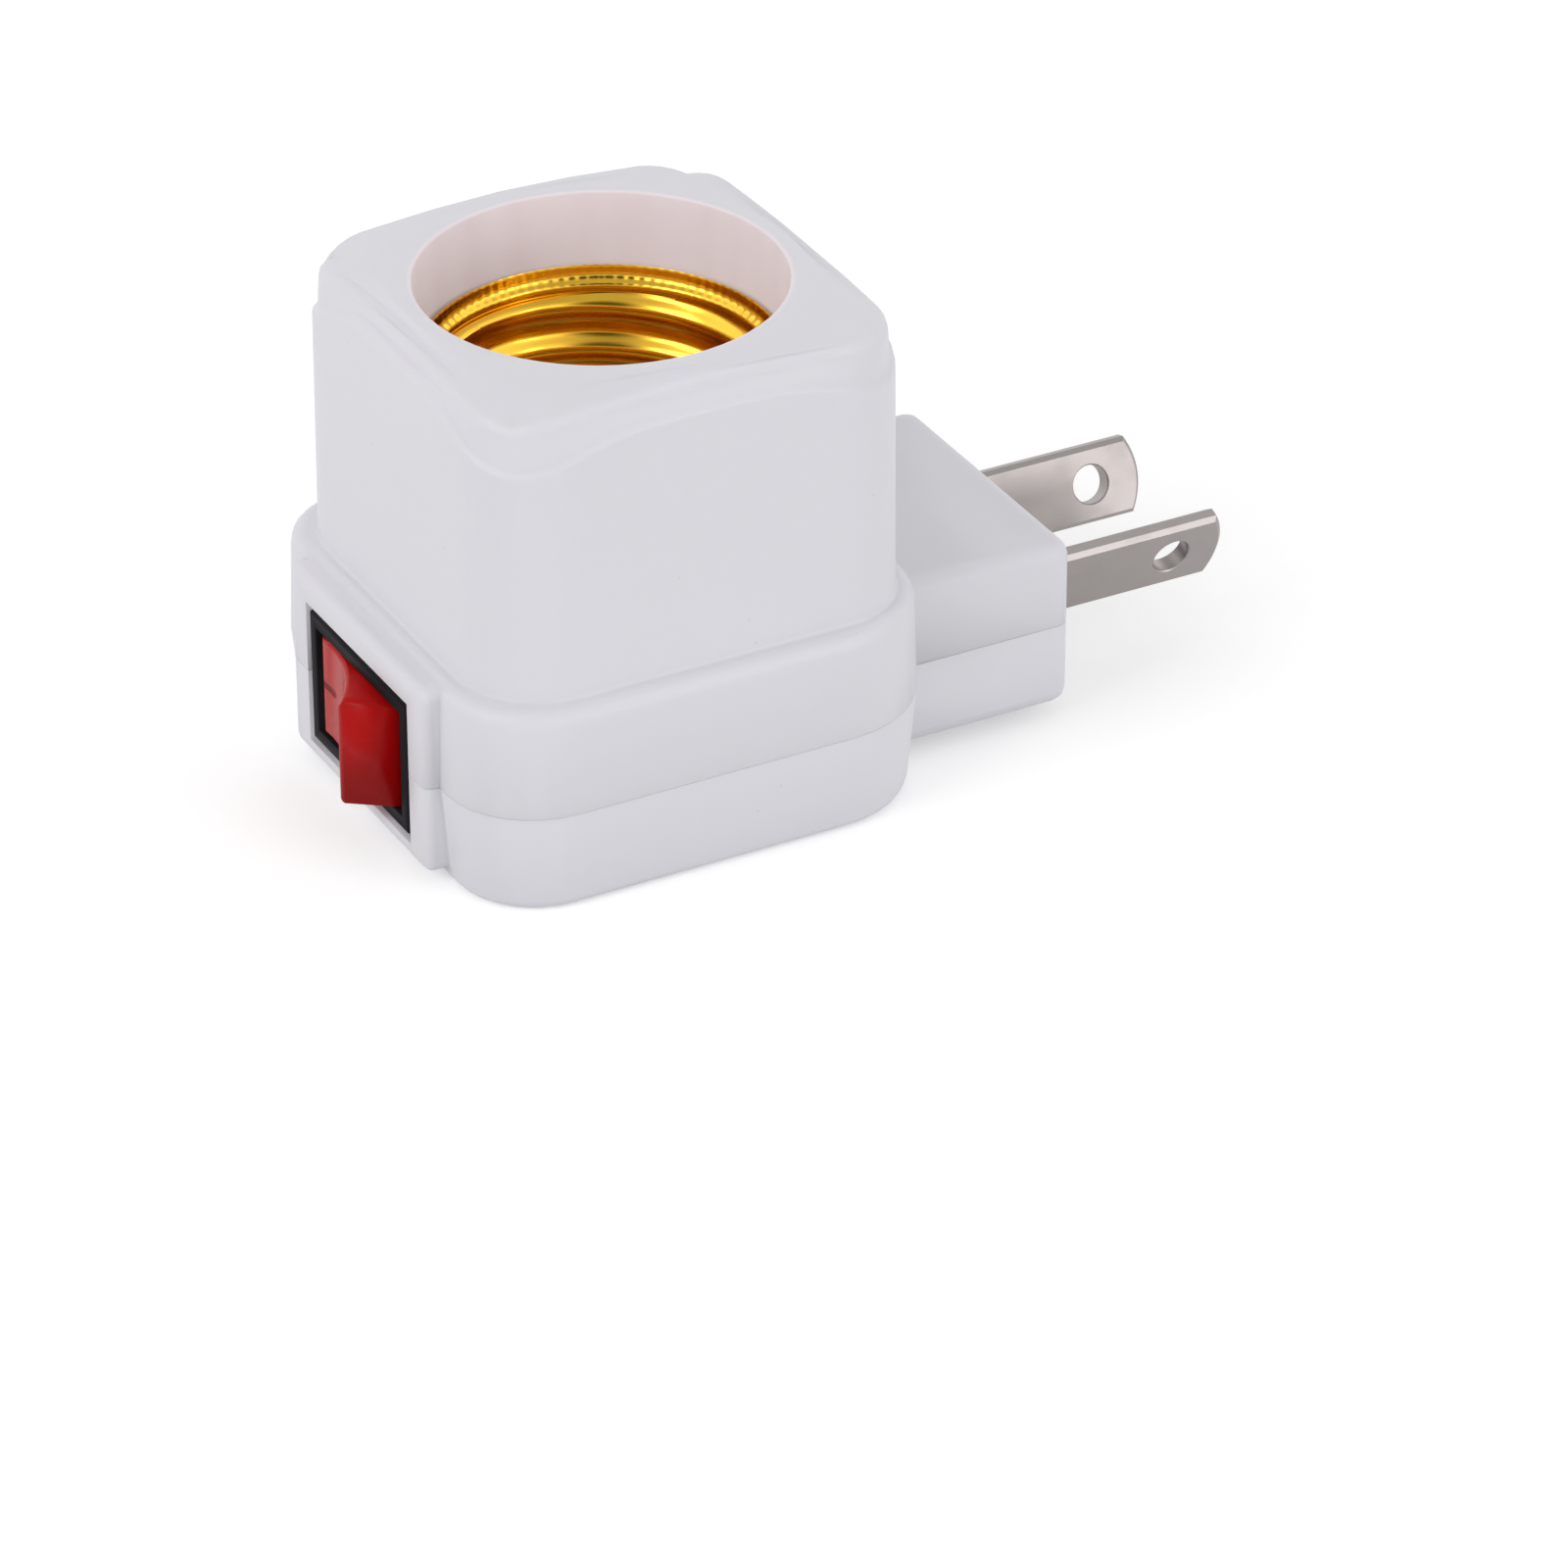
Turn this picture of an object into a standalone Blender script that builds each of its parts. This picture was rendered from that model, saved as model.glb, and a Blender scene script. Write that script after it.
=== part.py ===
"""Plug-in lamp holder: a switched screw-cap lamp socket on a two-pin wall plug.

Two moulded shells meet at a flat parting plane. The front shell carries the square socket tower,
the back cover closes the base, and three screws hold them together. A rocker switch sits in a raised
surround on one end, and the plug block on the other end holds two flat pins in round swivel hubs.

The origin is the middle of the back face. Z points out of the lamp socket, X points out of the plug
pins, and the switch looks towards -X.
"""

import math

import bmesh
import bpy
from mathutils import Matrix, Vector

MM = 0.001

# Clearances
SEAM_GAP = 0.25 * MM
SEAT_GAP = 0.3 * MM
RUNNING_GAP = 0.15 * MM
CUT_REACH = 4.0 * MM

# Base, made of the collar of the front shell and the back cover
BASE_CORNER = 7.5 * MM
BASE_PLUG_CORNER = 9.5 * MM
BACK_DEPTH = 8.5 * MM
BACK_DRAFT = 0.7 * MM
BACK_EDGE_ROUND = 0.9 * MM
COLLAR_HEIGHT = 8.8 * MM
COLLAR_DRAFT = 0.25 * MM
COLLAR_EDGE_ROUND = 1.2 * MM
COLLAR_LEDGE = 0.5 * MM
SHELL_WALL = 2.0 * MM
FLOOR_THICKNESS = 1.9 * MM
LIP_THICKNESS = 1.0 * MM
LIP_HEIGHT = 1.4 * MM
LIP_LENGTH = 20.0 * MM

# Socket tower with its arched cap
TOWER_CORNER = 6.9 * MM
TOWER_HEIGHT = 24.3 * MM
TOWER_FOOT_FILLET = 0.4 * MM
TOWER_DRAFT = 0.15 * MM
TOWER_WALL = 2.65 * MM
CAP_BAND = 2.9 * MM
CAP_STEP = 0.45 * MM
CAP_LEAN = 0.3 * MM
CAP_CORNER = 5.5 * MM
CAP_ROUND = 0.9 * MM
CAP_SIDE_ROUND = 0.5 * MM
CAP_RIM_DROP = 0.15 * MM
CAP_ARCH = 1.5 * MM
CAP_ARCH_POWER = 1.77
CAP_SIDE_DROP = 0.4 * MM
BAND_ARCH = 2.6 * MM
BAND_SIDE_RISE = 0.85 * MM
CROWN_FLAT = 0.8 * MM
MOUTH_LAND = 1.4 * MM
POCKET_ROOF = 4.6 * MM
SLEEVE_WALL = 1.5 * MM

# Lamp socket
SOCKET_BORE = 28.7 * MM
BRASS_SETBACK = 6.0 * MM
BRASS_WALL = 0.5 * MM
BRASS_RIM_HEIGHT = 1.0 * MM
THREAD_PITCH = 3.6 * MM
THREAD_DEPTH = 1.0 * MM
BRASS_ROOM = 0.4 * MM
BRASS_FLANGE_WIDTH = 3.6 * MM
SHELL_RIVET_INSET = 3.05 * MM
SHELL_RIVET_ANGLE = 45.0

# Centre contact
CONTACT_STRIP = 0.5 * MM
CENTRE_CONTACT_WIDTH = 5.0 * MM
CENTRE_CONTACT_FOOT = 4.4 * MM
CENTRE_CONTACT_RISE = 3.6 * MM
CENTRE_CONTACT_SLOPE = 1.6 * MM
CENTRE_RIVET_INSET = 2.9 * MM

# Rivets and solder tags
RIVET_SHANK = 2.0 * MM
RIVET_HEAD = 3.4 * MM
RIVET_HEAD_HEIGHT = 0.6 * MM
TAG_WIDTH = 4.0 * MM
TAG_LENGTH = 7.0 * MM

# Plug block
PLUG_LENGTH = 14.2 * MM
PLUG_BACK = 1.3 * MM
PLUG_FRONT = 15.8 * MM
PLUG_WALL = 1.5 * MM
PLUG_END_WALL = 2.3 * MM
PLUG_EDGE_ROUND = 1.3 * MM

# Plug pins, whose spread follows the wall outlet
PIN_SPACING = 12.7 * MM
PIN_WIDTH = 6.35 * MM
PIN_THICKNESS = 1.5 * MM
PIN_LENGTH = 17.2 * MM
PIN_TIP_ROUND = 1.5 * MM
PIN_HOLE = 3.2 * MM
PIN_HOLE_INSET = 4.6 * MM
PIN_SPLAY_ANGLE = 18.0
PIN_STUD_WIDTH = 2.4 * MM
PIN_STUD_LENGTH = 2.8 * MM
HUB_DIAMETER = 7.7 * MM
HUB_FLANGE = 9.2 * MM
HUB_SIDE_ROOM = 0.35 * MM
HUB_FLANGE_THICKNESS = 1.6 * MM
PIN_CONTACT_WIDTH = 3.6 * MM
PIN_CONTACT_HEIGHT = 8.6 * MM
PIN_CONTACT_ARM = 4.2 * MM
CONTACT_RIB_HEIGHT = 2.6 * MM

# Switch surround and rocker switch
SURROUND_RAISE = 1.15 * MM
SURROUND_WIDTH = 23.6 * MM
SURROUND_FOOT = 1.0 * MM
SURROUND_TOP_DROP = 0.4 * MM
SURROUND_ROUND = 0.8 * MM
BEZEL_LENGTH = 17.2 * MM
BEZEL_HEIGHT = 11.7 * MM
BEZEL_THICKNESS = 1.2 * MM
BEZEL_RECESS = 0.3 * MM
SWITCH_LENGTH = 16.0 * MM
SWITCH_HEIGHT = 10.4 * MM
SWITCH_DEPTH = 8.4 * MM
SWITCH_WALL = 0.65 * MM
SWITCH_BACK_WALL = 0.9 * MM
BARB_LENGTH = 1.6 * MM
BARB_HEIGHT = 5.0 * MM
BARB_REACH = 0.5 * MM
ROCKER_ROOT_LENGTH = 13.6 * MM
ROCKER_CREST_LENGTH = 10.8 * MM
ROCKER_CREST = 4.6 * MM
ROCKER_VALLEY = 1.2 * MM
ROCKER_WIDTH = 8.7 * MM
ROCKER_PIVOT_DEPTH = 2.4 * MM
ROCKER_TILT = 19.0
ROCKER_STEM = 3.8 * MM
ROCKER_STEM_REACH = 3.2 * MM
ROCKER_KEEL_REACH = 1.4 * MM
ROCKER_KEEL_LENGTH = 9.0 * MM
ROCKER_EDGE_ROUND = 0.3 * MM
ROCKER_PIN_DIAMETER = 1.6 * MM
ROCKER_PIN_LENGTH = 0.6 * MM
PLUNGER_DIAMETER = 1.8 * MM
PLUNGER_LENGTH = 3.4 * MM
SPRING_WIRE = 0.3 * MM
SPRING_TURNS = 3
SPRING_LENGTH = 1.5 * MM
LEVER_LENGTH = 9.4 * MM
LEVER_WIDTH = 4.0 * MM
LEVER_BEND = 8.0
LEVER_TILT = 5.0
TERMINAL_THICKNESS = 0.8 * MM
TERMINAL_WIDTH = 4.0 * MM
TERMINAL_REACH = 5.4 * MM
TERMINAL_SPACING = 4.6 * MM
TERMINAL_INNER = 0.35 * MM

# Cover screws and the tubes and posts that take them
SCREW_HEAD = 4.9 * MM
SCREW_HEAD_HEIGHT = 1.6 * MM
SCREW_SHANK = 2.6 * MM
SCREW_LENGTH = 9.0 * MM
SCREW_POINT = 1.6 * MM
SCREW_RECESS = 5.8 * MM
SCREW_RECESS_DEPTH = 5.0 * MM
SCREW_SEAT = 1.2 * MM
SCREW_TUBE_WALL = 1.1 * MM
SCREW_POST_WALL = 1.2 * MM
SCREW_POST_GAP = 0.3 * MM
SCREW_SLOT_WIDTH = 0.7 * MM
SCREW_SLOT_LENGTH = 3.0 * MM
SCREW_SLOT_DEPTH = 0.8 * MM
BASE_SCREW_X = -7.3 * MM
BASE_SCREW_SPACING = 20.8 * MM
PLUG_SCREW_INSET = 9.5 * MM

# Insulated wires
WIRE_DIAMETER = 1.7 * MM
WIRE_POINT_SPACING = 3.6 * MM
WIRE_LEAD = 5.0 * MM
WIRE_SAG = 0.5 * MM

# Levels and places that follow from the sizes above
TOWER_HALF = SOCKET_BORE / 2 + MOUTH_LAND + CROWN_FLAT + CAP_ROUND + CAP_LEAN + CAP_STEP + TOWER_DRAFT
BASE_HALF = TOWER_HALF + COLLAR_LEDGE + COLLAR_EDGE_ROUND + COLLAR_DRAFT
PLUG_REACH = BASE_HALF + PLUG_LENGTH
PLUG_HALF = PIN_SPACING / 2 + HUB_FLANGE / 2 + HUB_SIDE_ROOM + PLUG_WALL
PLUG_SCREW_X = PLUG_REACH - PLUG_SCREW_INSET
SURROUND_FRONT = BASE_HALF + SURROUND_RAISE
THREAD_CREST = SOCKET_BORE / 2 - BRASS_ROOM
FLANGE_HOLE = THREAD_CREST - THREAD_DEPTH - BRASS_FLANGE_WIDTH
SHELL_RIVET_RADIUS = THREAD_CREST - SHELL_RIVET_INSET
CENTRE_RIVET_X = CENTRE_RIVET_INSET - FLANGE_HOLE
COLLAR_TOP = BACK_DEPTH + COLLAR_HEIGHT
MOUTH_Z = COLLAR_TOP + TOWER_HEIGHT
FLOOR_BOTTOM = COLLAR_TOP - FLOOR_THICKNESS
FRONT_SEAM = BACK_DEPTH + SEAM_GAP / 2
BACK_SEAM = BACK_DEPTH - SEAM_GAP / 2
PIN_AXIS_Z = BACK_DEPTH
SWITCH_AXIS_Z = BACK_DEPTH
BEZEL_FRONT = -(SURROUND_FRONT - BEZEL_RECESS)
BEZEL_BACK = BEZEL_FRONT + BEZEL_THICKNESS
SWITCH_BACK = BEZEL_BACK + SWITCH_DEPTH
ROCKER_AXIS_X = BEZEL_FRONT + ROCKER_PIVOT_DEPTH
LEVER_SEAT_X = SWITCH_BACK - SWITCH_BACK_WALL - TERMINAL_INNER
LEVER_AXIS_X = LEVER_SEAT_X - SEAT_GAP
PLUNGER_TIP = LEVER_AXIS_X - CONTACT_STRIP - SEAT_GAP - ROCKER_AXIS_X
PLUG_END_INNER = PLUG_REACH - PLUG_END_WALL
HUB_BACK = PLUG_END_INNER - SEAT_GAP - HUB_FLANGE_THICKNESS
STUD_END = HUB_BACK - PIN_STUD_LENGTH
BRASS_TOP = MOUTH_Z - BRASS_SETBACK
BRASS_FOOT = COLLAR_TOP + SEAT_GAP
TAG_TOP = FLOOR_BOTTOM - SEAT_GAP
PIN_CONTACT_FOOT = PLUG_BACK + PLUG_WALL + 2 * SEAT_GAP
POST_FOOT = SCREW_RECESS_DEPTH + SCREW_SEAT + SCREW_POST_GAP

ROUND_STEPS = 32
ARC_STEPS = 8
SIDE_STEPS = 8
CAP_ROUND_STEPS = 3
CROWN_STEPS = 4
DISH_STEPS = 8


def clear_scene():
    for old in list(bpy.data.objects):
        bpy.data.objects.remove(old, do_unlink=True)


def make_collection(name):
    collection = bpy.data.collections.new(name)
    bpy.context.scene.collection.children.link(collection)
    return collection


def plain_material(name, color, roughness, metallic=0.0):
    material = bpy.data.materials.new(name)
    material.use_nodes = True
    shader = material.node_tree.nodes["Principled BSDF"]
    shader.inputs["Base Color"].default_value = (*color, 1.0)
    shader.inputs["Roughness"].default_value = roughness
    shader.inputs["Metallic"].default_value = metallic
    return material


def white_moulding():
    return plain_material("white_moulding", (0.80, 0.80, 0.83), 0.38)


def black_nylon():
    return plain_material("black_nylon", (0.015, 0.015, 0.018), 0.45)


def red_rocker_plastic():
    return plain_material("red_rocker_plastic", (0.55, 0.012, 0.014), 0.35)


def yellow_brass():
    return plain_material("yellow_brass", (0.78, 0.52, 0.16), 0.28, 1.0)


def nickel_plate():
    return plain_material("nickel_plate", (0.66, 0.63, 0.60), 0.25, 1.0)


def zinc_steel():
    return plain_material("zinc_steel", (0.60, 0.60, 0.62), 0.35, 1.0)


def wire_insulation(name, color):
    return plain_material(name, color, 0.5)


def shade_round(mesh, angle=40.0):
    mesh.shade_smooth()
    mesh.set_sharp_from_angle(angle=math.radians(angle))


def add_object(name, mesh, collection, material=None):
    obj = bpy.data.objects.new(name, mesh)
    collection.objects.link(obj)
    if material is not None:
        mesh.materials.append(material)
    return obj


def hide_tool(obj):
    obj.hide_render = True
    obj.display_type = "WIRE"
    return obj


def mesh_from(bm, name):
    bmesh.ops.recalc_face_normals(bm, faces=bm.faces)
    mesh = bpy.data.meshes.new(name)
    bm.to_mesh(mesh)
    bm.free()
    shade_round(mesh)
    return mesh


def box(name, low, high, collection, material=None):
    """A box between two corners."""
    low = Vector(low)
    high = Vector(high)
    bm = bmesh.new()
    bmesh.ops.create_cube(bm, size=1.0)
    size = high - low
    bmesh.ops.scale(bm, vec=size, verts=bm.verts)
    bmesh.ops.translate(bm, vec=(low + high) / 2, verts=bm.verts)
    return add_object(name, mesh_from(bm, name), collection, material)


def cylinder(name, radius, start, end, collection, material=None, steps=ROUND_STEPS, end_radius=None):
    """A cylinder or cone between two points."""
    start = Vector(start)
    end = Vector(end)
    axis = end - start
    bm = bmesh.new()
    bmesh.ops.create_cone(
        bm,
        cap_ends=True,
        segments=steps,
        radius1=radius,
        radius2=radius if end_radius is None else end_radius,
        depth=axis.length,
    )
    turn = Vector((0, 0, 1)).rotation_difference(axis).to_matrix().to_4x4()
    bmesh.ops.transform(bm, matrix=Matrix.Translation((start + end) / 2) @ turn, verts=bm.verts)
    return add_object(name, mesh_from(bm, name), collection, material)


def turned(name, profile, axis, collection, material=None, steps=ROUND_STEPS):
    """A solid of revolution. The profile holds (radius, height) points down its outer side, and a
    closed one comes back up its inner side."""
    mesh = bpy.data.meshes.new(name)
    points = [(radius, 0.0, height) for radius, height in profile]
    closed = profile[0][0] > 0.0
    edges = [(i, i + 1) for i in range(len(points) - 1)]
    if closed:
        edges.append((len(points) - 1, 0))
    mesh.from_pydata(points, edges, [])
    obj = add_object(name, mesh, collection, material)
    screw = obj.modifiers.new("Turn", "SCREW")
    screw.axis = "Z"
    screw.angle = math.tau
    screw.steps = steps
    screw.render_steps = steps
    screw.use_merge_vertices = True
    screw.merge_threshold = 0.00002
    screw.use_smooth_shade = True
    if axis == "X":
        obj.rotation_euler = (0.0, math.radians(90.0), 0.0)
    return obj


def baked(obj):
    """Turns a curve or a modified object into a plain mesh object in the same place."""
    bpy.context.view_layer.update()
    depsgraph = bpy.context.evaluated_depsgraph_get()
    mesh = bpy.data.meshes.new_from_object(obj.evaluated_get(depsgraph), depsgraph=depsgraph)
    bm = bmesh.new()
    bm.from_mesh(mesh)
    bmesh.ops.remove_doubles(bm, verts=bm.verts, dist=0.000005)
    bmesh.ops.recalc_face_normals(bm, faces=bm.faces)
    bm.to_mesh(mesh)
    bm.free()
    shade_round(mesh)
    name = obj.name
    collection = obj.users_collection[0]
    place = obj.matrix_world.copy()
    parent = obj.parent
    bpy.data.objects.remove(obj, do_unlink=True)
    solid = bpy.data.objects.new(name, mesh)
    collection.objects.link(solid)
    solid.parent = parent
    solid.matrix_world = place
    return solid


def plate(name, outline, thickness, collection, material=None, holes=(), matrix=None):
    """A flat piece cut from sheet: the outline and its holes lie in the local XY plane."""
    curve = bpy.data.curves.new(name, "CURVE")
    curve.dimensions = "2D"
    curve.fill_mode = "BOTH"
    curve.extrude = thickness / 2
    for loop in (outline, *holes):
        spline = curve.splines.new("POLY")
        spline.points.add(len(loop) - 1)
        for point, (x, y) in zip(spline.points, loop):
            point.co = (x, y, 0.0, 1.0)
        spline.use_cyclic_u = True
    obj = add_object(name, curve, collection)
    if matrix is not None:
        obj.matrix_world = matrix
    solid = baked(obj)
    if material is not None:
        solid.data.materials.clear()
        solid.data.materials.append(material)
    return solid


def circle_points(radius, center=(0.0, 0.0), steps=ROUND_STEPS):
    turn = math.tau / steps
    return [
        (center[0] + radius * math.cos(i * turn), center[1] + radius * math.sin(i * turn))
        for i in range(steps)
    ]


def square_points(half, corner, plug_corner=None):
    """A square with round corners and extra points along its sides, anticlockwise. The two corners on
    the plug's side can have a radius of their own."""
    arcs = []
    for quarter in range(4):
        start = quarter * math.pi / 2
        radius = plug_corner if plug_corner and quarter in (0, 3) else corner
        cx = (half - radius) * (1 if quarter in (0, 3) else -1)
        cy = (half - radius) * (1 if quarter in (0, 1) else -1)
        turns = [start + math.pi / 2 * i / ARC_STEPS for i in range(ARC_STEPS + 1)]
        arcs.append([(cx + radius * math.cos(turn), cy + radius * math.sin(turn)) for turn in turns])
    points = []
    for arc, following in zip(arcs, arcs[1:] + arcs[:1]):
        (ax, ay), (bx, by) = arc[-1], following[0]
        shares = [i / SIDE_STEPS for i in range(1, SIDE_STEPS)]
        points += arc + [(ax + (bx - ax) * share, ay + (by - ay) * share) for share in shares]
    return points


def loft(name, rings, collection, material=None):
    """A closed solid through rings of equally many points, from the bottom ring to the top one."""
    bm = bmesh.new()
    loops = [[bm.verts.new(point) for point in ring] for ring in rings]
    for lower, upper in zip(loops, loops[1:]):
        count = len(lower)
        for i in range(count):
            j = (i + 1) % count
            bm.faces.new((lower[i], lower[j], upper[j], upper[i]))
    bm.faces.new(list(reversed(loops[0])))
    bm.faces.new(loops[-1])
    return add_object(name, mesh_from(bm, name), collection, material)


def flat_ring(half, corner, z, plug_corner=None):
    return [(x, y, z) for x, y in square_points(half, corner, plug_corner)]


def base_ring(inset, z):
    """The outline of the base, drawn in from its widest by the inset."""
    return flat_ring(BASE_HALF - inset, BASE_CORNER - inset, z, BASE_PLUG_CORNER - inset)


def boolean(obj, other, operation):
    step = obj.modifiers.new(other.name, "BOOLEAN")
    step.operation = operation
    step.solver = "EXACT"
    step.object = other


def cut(obj, *tools):
    for tool in tools:
        boolean(obj, hide_tool(tool), "DIFFERENCE")


def join(obj, *others):
    for other in others:
        boolean(obj, hide_tool(other), "UNION")


def round_edges(obj, width, segments=2):
    bevel = obj.modifiers.new("Round", "BEVEL")
    bevel.width = width
    bevel.segments = segments
    bevel.limit_method = "ANGLE"
    bevel.angle_limit = math.radians(40.0)


def ribbon(points, thickness):
    """The closed outline of a bent strip whose one face follows the points."""
    path = [Vector(p) for p in points]
    normals = []
    for i, point in enumerate(path):
        before = (point - path[i - 1]).normalized() if i else None
        after = (path[i + 1] - point).normalized() if i + 1 < len(path) else None
        if before is None:
            before = after
        if after is None:
            after = before
        middle = (before + after).normalized()
        side = Vector((-middle.y, middle.x))
        normals.append(side / max(side.dot(Vector((-before.y, before.x))), 0.3))
    other = [point + normal * thickness for point, normal in zip(path, normals)]
    return [tuple(p) for p in path] + [tuple(p) for p in reversed(other)]


def upright(x=0.0, y=0.0, z=0.0):
    """Puts a flat outline's X along world X and its Y along world Z."""
    return Matrix.Translation((x, y, z)) @ Matrix.Rotation(math.radians(90.0), 4, "X")


# Outer forms of the two shells


def tower_form(tools):
    """The square tower: straight walls and a stepped-in cap whose rim arches up along each side. On the
    switch's and the plug's sides the rim is lower and softer, and the edge below it runs higher."""
    foot = square_points(TOWER_HALF, TOWER_CORNER)
    middle = TOWER_HALF ** 2
    diagonal = ((TOWER_HALF - TOWER_CORNER) * math.sqrt(2) + TOWER_CORNER) ** 2
    level = [0.0 for _ in foot]
    cap_drops = []
    band_drops = []
    side_rounds = []
    for x, y in foot:
        reach = max(abs(x), abs(y))
        share = (min(abs(x), abs(y)) / reach) ** CAP_ARCH_POWER
        side = (1 - share) * max(0.0, x * x - y * y) / reach ** 2
        cap_drops.append(CAP_RIM_DROP + CAP_ARCH * share + CAP_SIDE_DROP * side)
        side_rounds.append(CAP_SIDE_ROUND * side)
        bulge = max(0.0, (x * x + y * y - middle) / (diagonal - middle))
        band_drops.append(BAND_ARCH * bulge ** 1.5 - BAND_SIDE_RISE * max(0.0, x * x - y * y) / middle)

    def ring(inset, corner, z, drops):
        points = square_points(TOWER_HALF - inset, corner)
        return [(x, y, z - drop) for (x, y), drop in zip(points, drops)]

    def rim(turn):
        sink = CAP_ROUND * (1 - math.sin(turn))
        draw_in = 1 - math.cos(turn)
        points = ring(band_top + CAP_ROUND * draw_in, CAP_CORNER - CAP_ROUND * draw_in, MOUTH_Z - sink, cap_drops)
        return [
            (x - math.copysign(extra * draw_in, x), y, z)
            for (x, y, z), extra in zip(points, side_rounds)
        ]

    def crown(share):
        radius = SOCKET_BORE / 2 + MOUTH_LAND
        points = []
        for (x, y, z), drop in zip(rim(math.pi / 2), cap_drops):
            turn = math.atan2(y, x)
            blend_x = x + (radius * math.cos(turn) - x) * share
            blend_y = y + (radius * math.sin(turn) - y) * share
            points.append((blend_x, blend_y, MOUTH_Z - drop * (1 - share) ** 2))
        return points

    wall_top = TOWER_DRAFT
    band_foot = wall_top + CAP_STEP
    band_top = band_foot + CAP_LEAN
    fillet = TOWER_FOOT_FILLET
    rings = [
        ring(-fillet, TOWER_CORNER + fillet, FLOOR_BOTTOM - FLOOR_THICKNESS, level),
        ring(-fillet, TOWER_CORNER + fillet, COLLAR_TOP - fillet / 2, level),
        ring(-fillet * 0.3, TOWER_CORNER + fillet * 0.3, COLLAR_TOP + fillet * 0.3, level),
        ring(0.0, TOWER_CORNER, COLLAR_TOP + fillet, level),
        ring(wall_top, TOWER_CORNER - wall_top, MOUTH_Z - CAP_BAND, band_drops),
        ring(band_foot, TOWER_CORNER - band_foot, MOUTH_Z - CAP_BAND + CAP_STEP, band_drops),
    ]
    rings += [rim(math.pi / 2 * i / CAP_ROUND_STEPS) for i in range(CAP_ROUND_STEPS)]
    rings += [crown(i / CROWN_STEPS) for i in range(CROWN_STEPS + 1)]
    return loft("tower_form", rings, tools)


def collar_form(tools):
    """The front half of the base, hardly narrower towards the tower, with a well rounded top edge."""
    edge = COLLAR_EDGE_ROUND
    rings = [
        base_ring(0.0, BACK_DEPTH - COLLAR_HEIGHT / 2),
        base_ring(0.0, BACK_DEPTH),
        base_ring(COLLAR_DRAFT, COLLAR_TOP - edge),
        base_ring(COLLAR_DRAFT + edge * 0.15, COLLAR_TOP - edge * 0.47),
        base_ring(COLLAR_DRAFT + edge * 0.5, COLLAR_TOP - edge * 0.13),
        base_ring(COLLAR_DRAFT + edge, COLLAR_TOP),
    ]
    return loft("collar_form", rings, tools)


def back_form(tools):
    """The back half of the base, narrower towards the back face, with a rounded edge."""
    edge = BACK_EDGE_ROUND
    rings = [
        base_ring(BACK_DRAFT + edge, 0.0),
        base_ring(BACK_DRAFT + edge * 0.3, edge * 0.3),
        base_ring(BACK_DRAFT, edge),
        base_ring(0.0, BACK_DEPTH),
        base_ring(0.0, BACK_DEPTH + BACK_DEPTH / 2),
    ]
    return loft("back_form", rings, tools)


def plug_form(name, tools):
    """The whole plug block, before the shells part it."""
    inside = BASE_HALF - SHELL_WALL - CUT_REACH
    half = PLUG_HALF
    form = box(name, (inside, -half, PLUG_BACK), (PLUG_REACH, half, PLUG_FRONT), tools)
    round_edges(form, PLUG_EDGE_ROUND, 3)
    return form


def surround_form(name, tools):
    """The raised rim round the switch, before the shells part it."""
    half = SURROUND_WIDTH / 2
    inside = -(BASE_HALF - SHELL_WALL - CUT_REACH)
    top = COLLAR_TOP - SURROUND_TOP_DROP
    form = box(name, (-SURROUND_FRONT, -half, SURROUND_FOOT), (inside, half, top), tools)
    round_edges(form, SURROUND_ROUND, 3)
    return form


def half_space(name, low_z, high_z, tools):
    reach = 2 * PLUG_REACH
    return box(name, (-reach, -reach, low_z), (reach, reach, high_z), tools)


# Hollows that both shells share


def base_hollow(name, low_z, high_z, tools):
    """The space inside the base, with walls of even thickness."""
    levels = sorted({low_z, BACK_DEPTH, high_z})
    narrow = SHELL_WALL + COLLAR_DRAFT
    rings = [base_ring(SHELL_WALL if z == BACK_DEPTH else narrow, z) for z in levels]
    return loft(name, rings, tools)


def plug_hollow(name, tools):
    inside = BASE_HALF - SHELL_WALL - CUT_REACH
    half = PLUG_HALF - PLUG_WALL
    return box(
        name,
        (inside, -half, PLUG_BACK + PLUG_WALL),
        (PLUG_END_INNER, half, PLUG_FRONT - PLUG_WALL),
        tools,
    )


def switch_hollows(name, tools):
    """The pocket for the switch's bezel, and the throat behind it."""
    outside = -(SURROUND_FRONT + CUT_REACH)
    seat = BEZEL_BACK + SEAT_GAP
    half_y = BEZEL_LENGTH / 2 + SEAT_GAP
    half_z = BEZEL_HEIGHT / 2 + SEAT_GAP
    pocket = box(
        name + "_pocket",
        (outside, -half_y, SWITCH_AXIS_Z - half_z),
        (seat, half_y, SWITCH_AXIS_Z + half_z),
        tools,
    )
    half_y = SWITCH_LENGTH / 2 + SEAT_GAP
    half_z = SWITCH_HEIGHT / 2 + SEAT_GAP
    throat = box(
        name + "_throat",
        (seat - BEZEL_THICKNESS, -half_y, SWITCH_AXIS_Z - half_z),
        (-(BASE_HALF - SHELL_WALL - CUT_REACH), half_y, SWITCH_AXIS_Z + half_z),
        tools,
    )
    return pocket, throat


def hub_bores(name, tools):
    """The two round holes through the end of the plug block."""
    bores = []
    for side, y in pin_sides():
        bores.append(
            cylinder(
                name + "_" + side,
                HUB_DIAMETER / 2 + RUNNING_GAP,
                (PLUG_END_INNER - CUT_REACH / 4, y, PIN_AXIS_Z),
                (PLUG_REACH + CUT_REACH, y, PIN_AXIS_Z),
                tools,
            )
        )
    return bores


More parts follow.
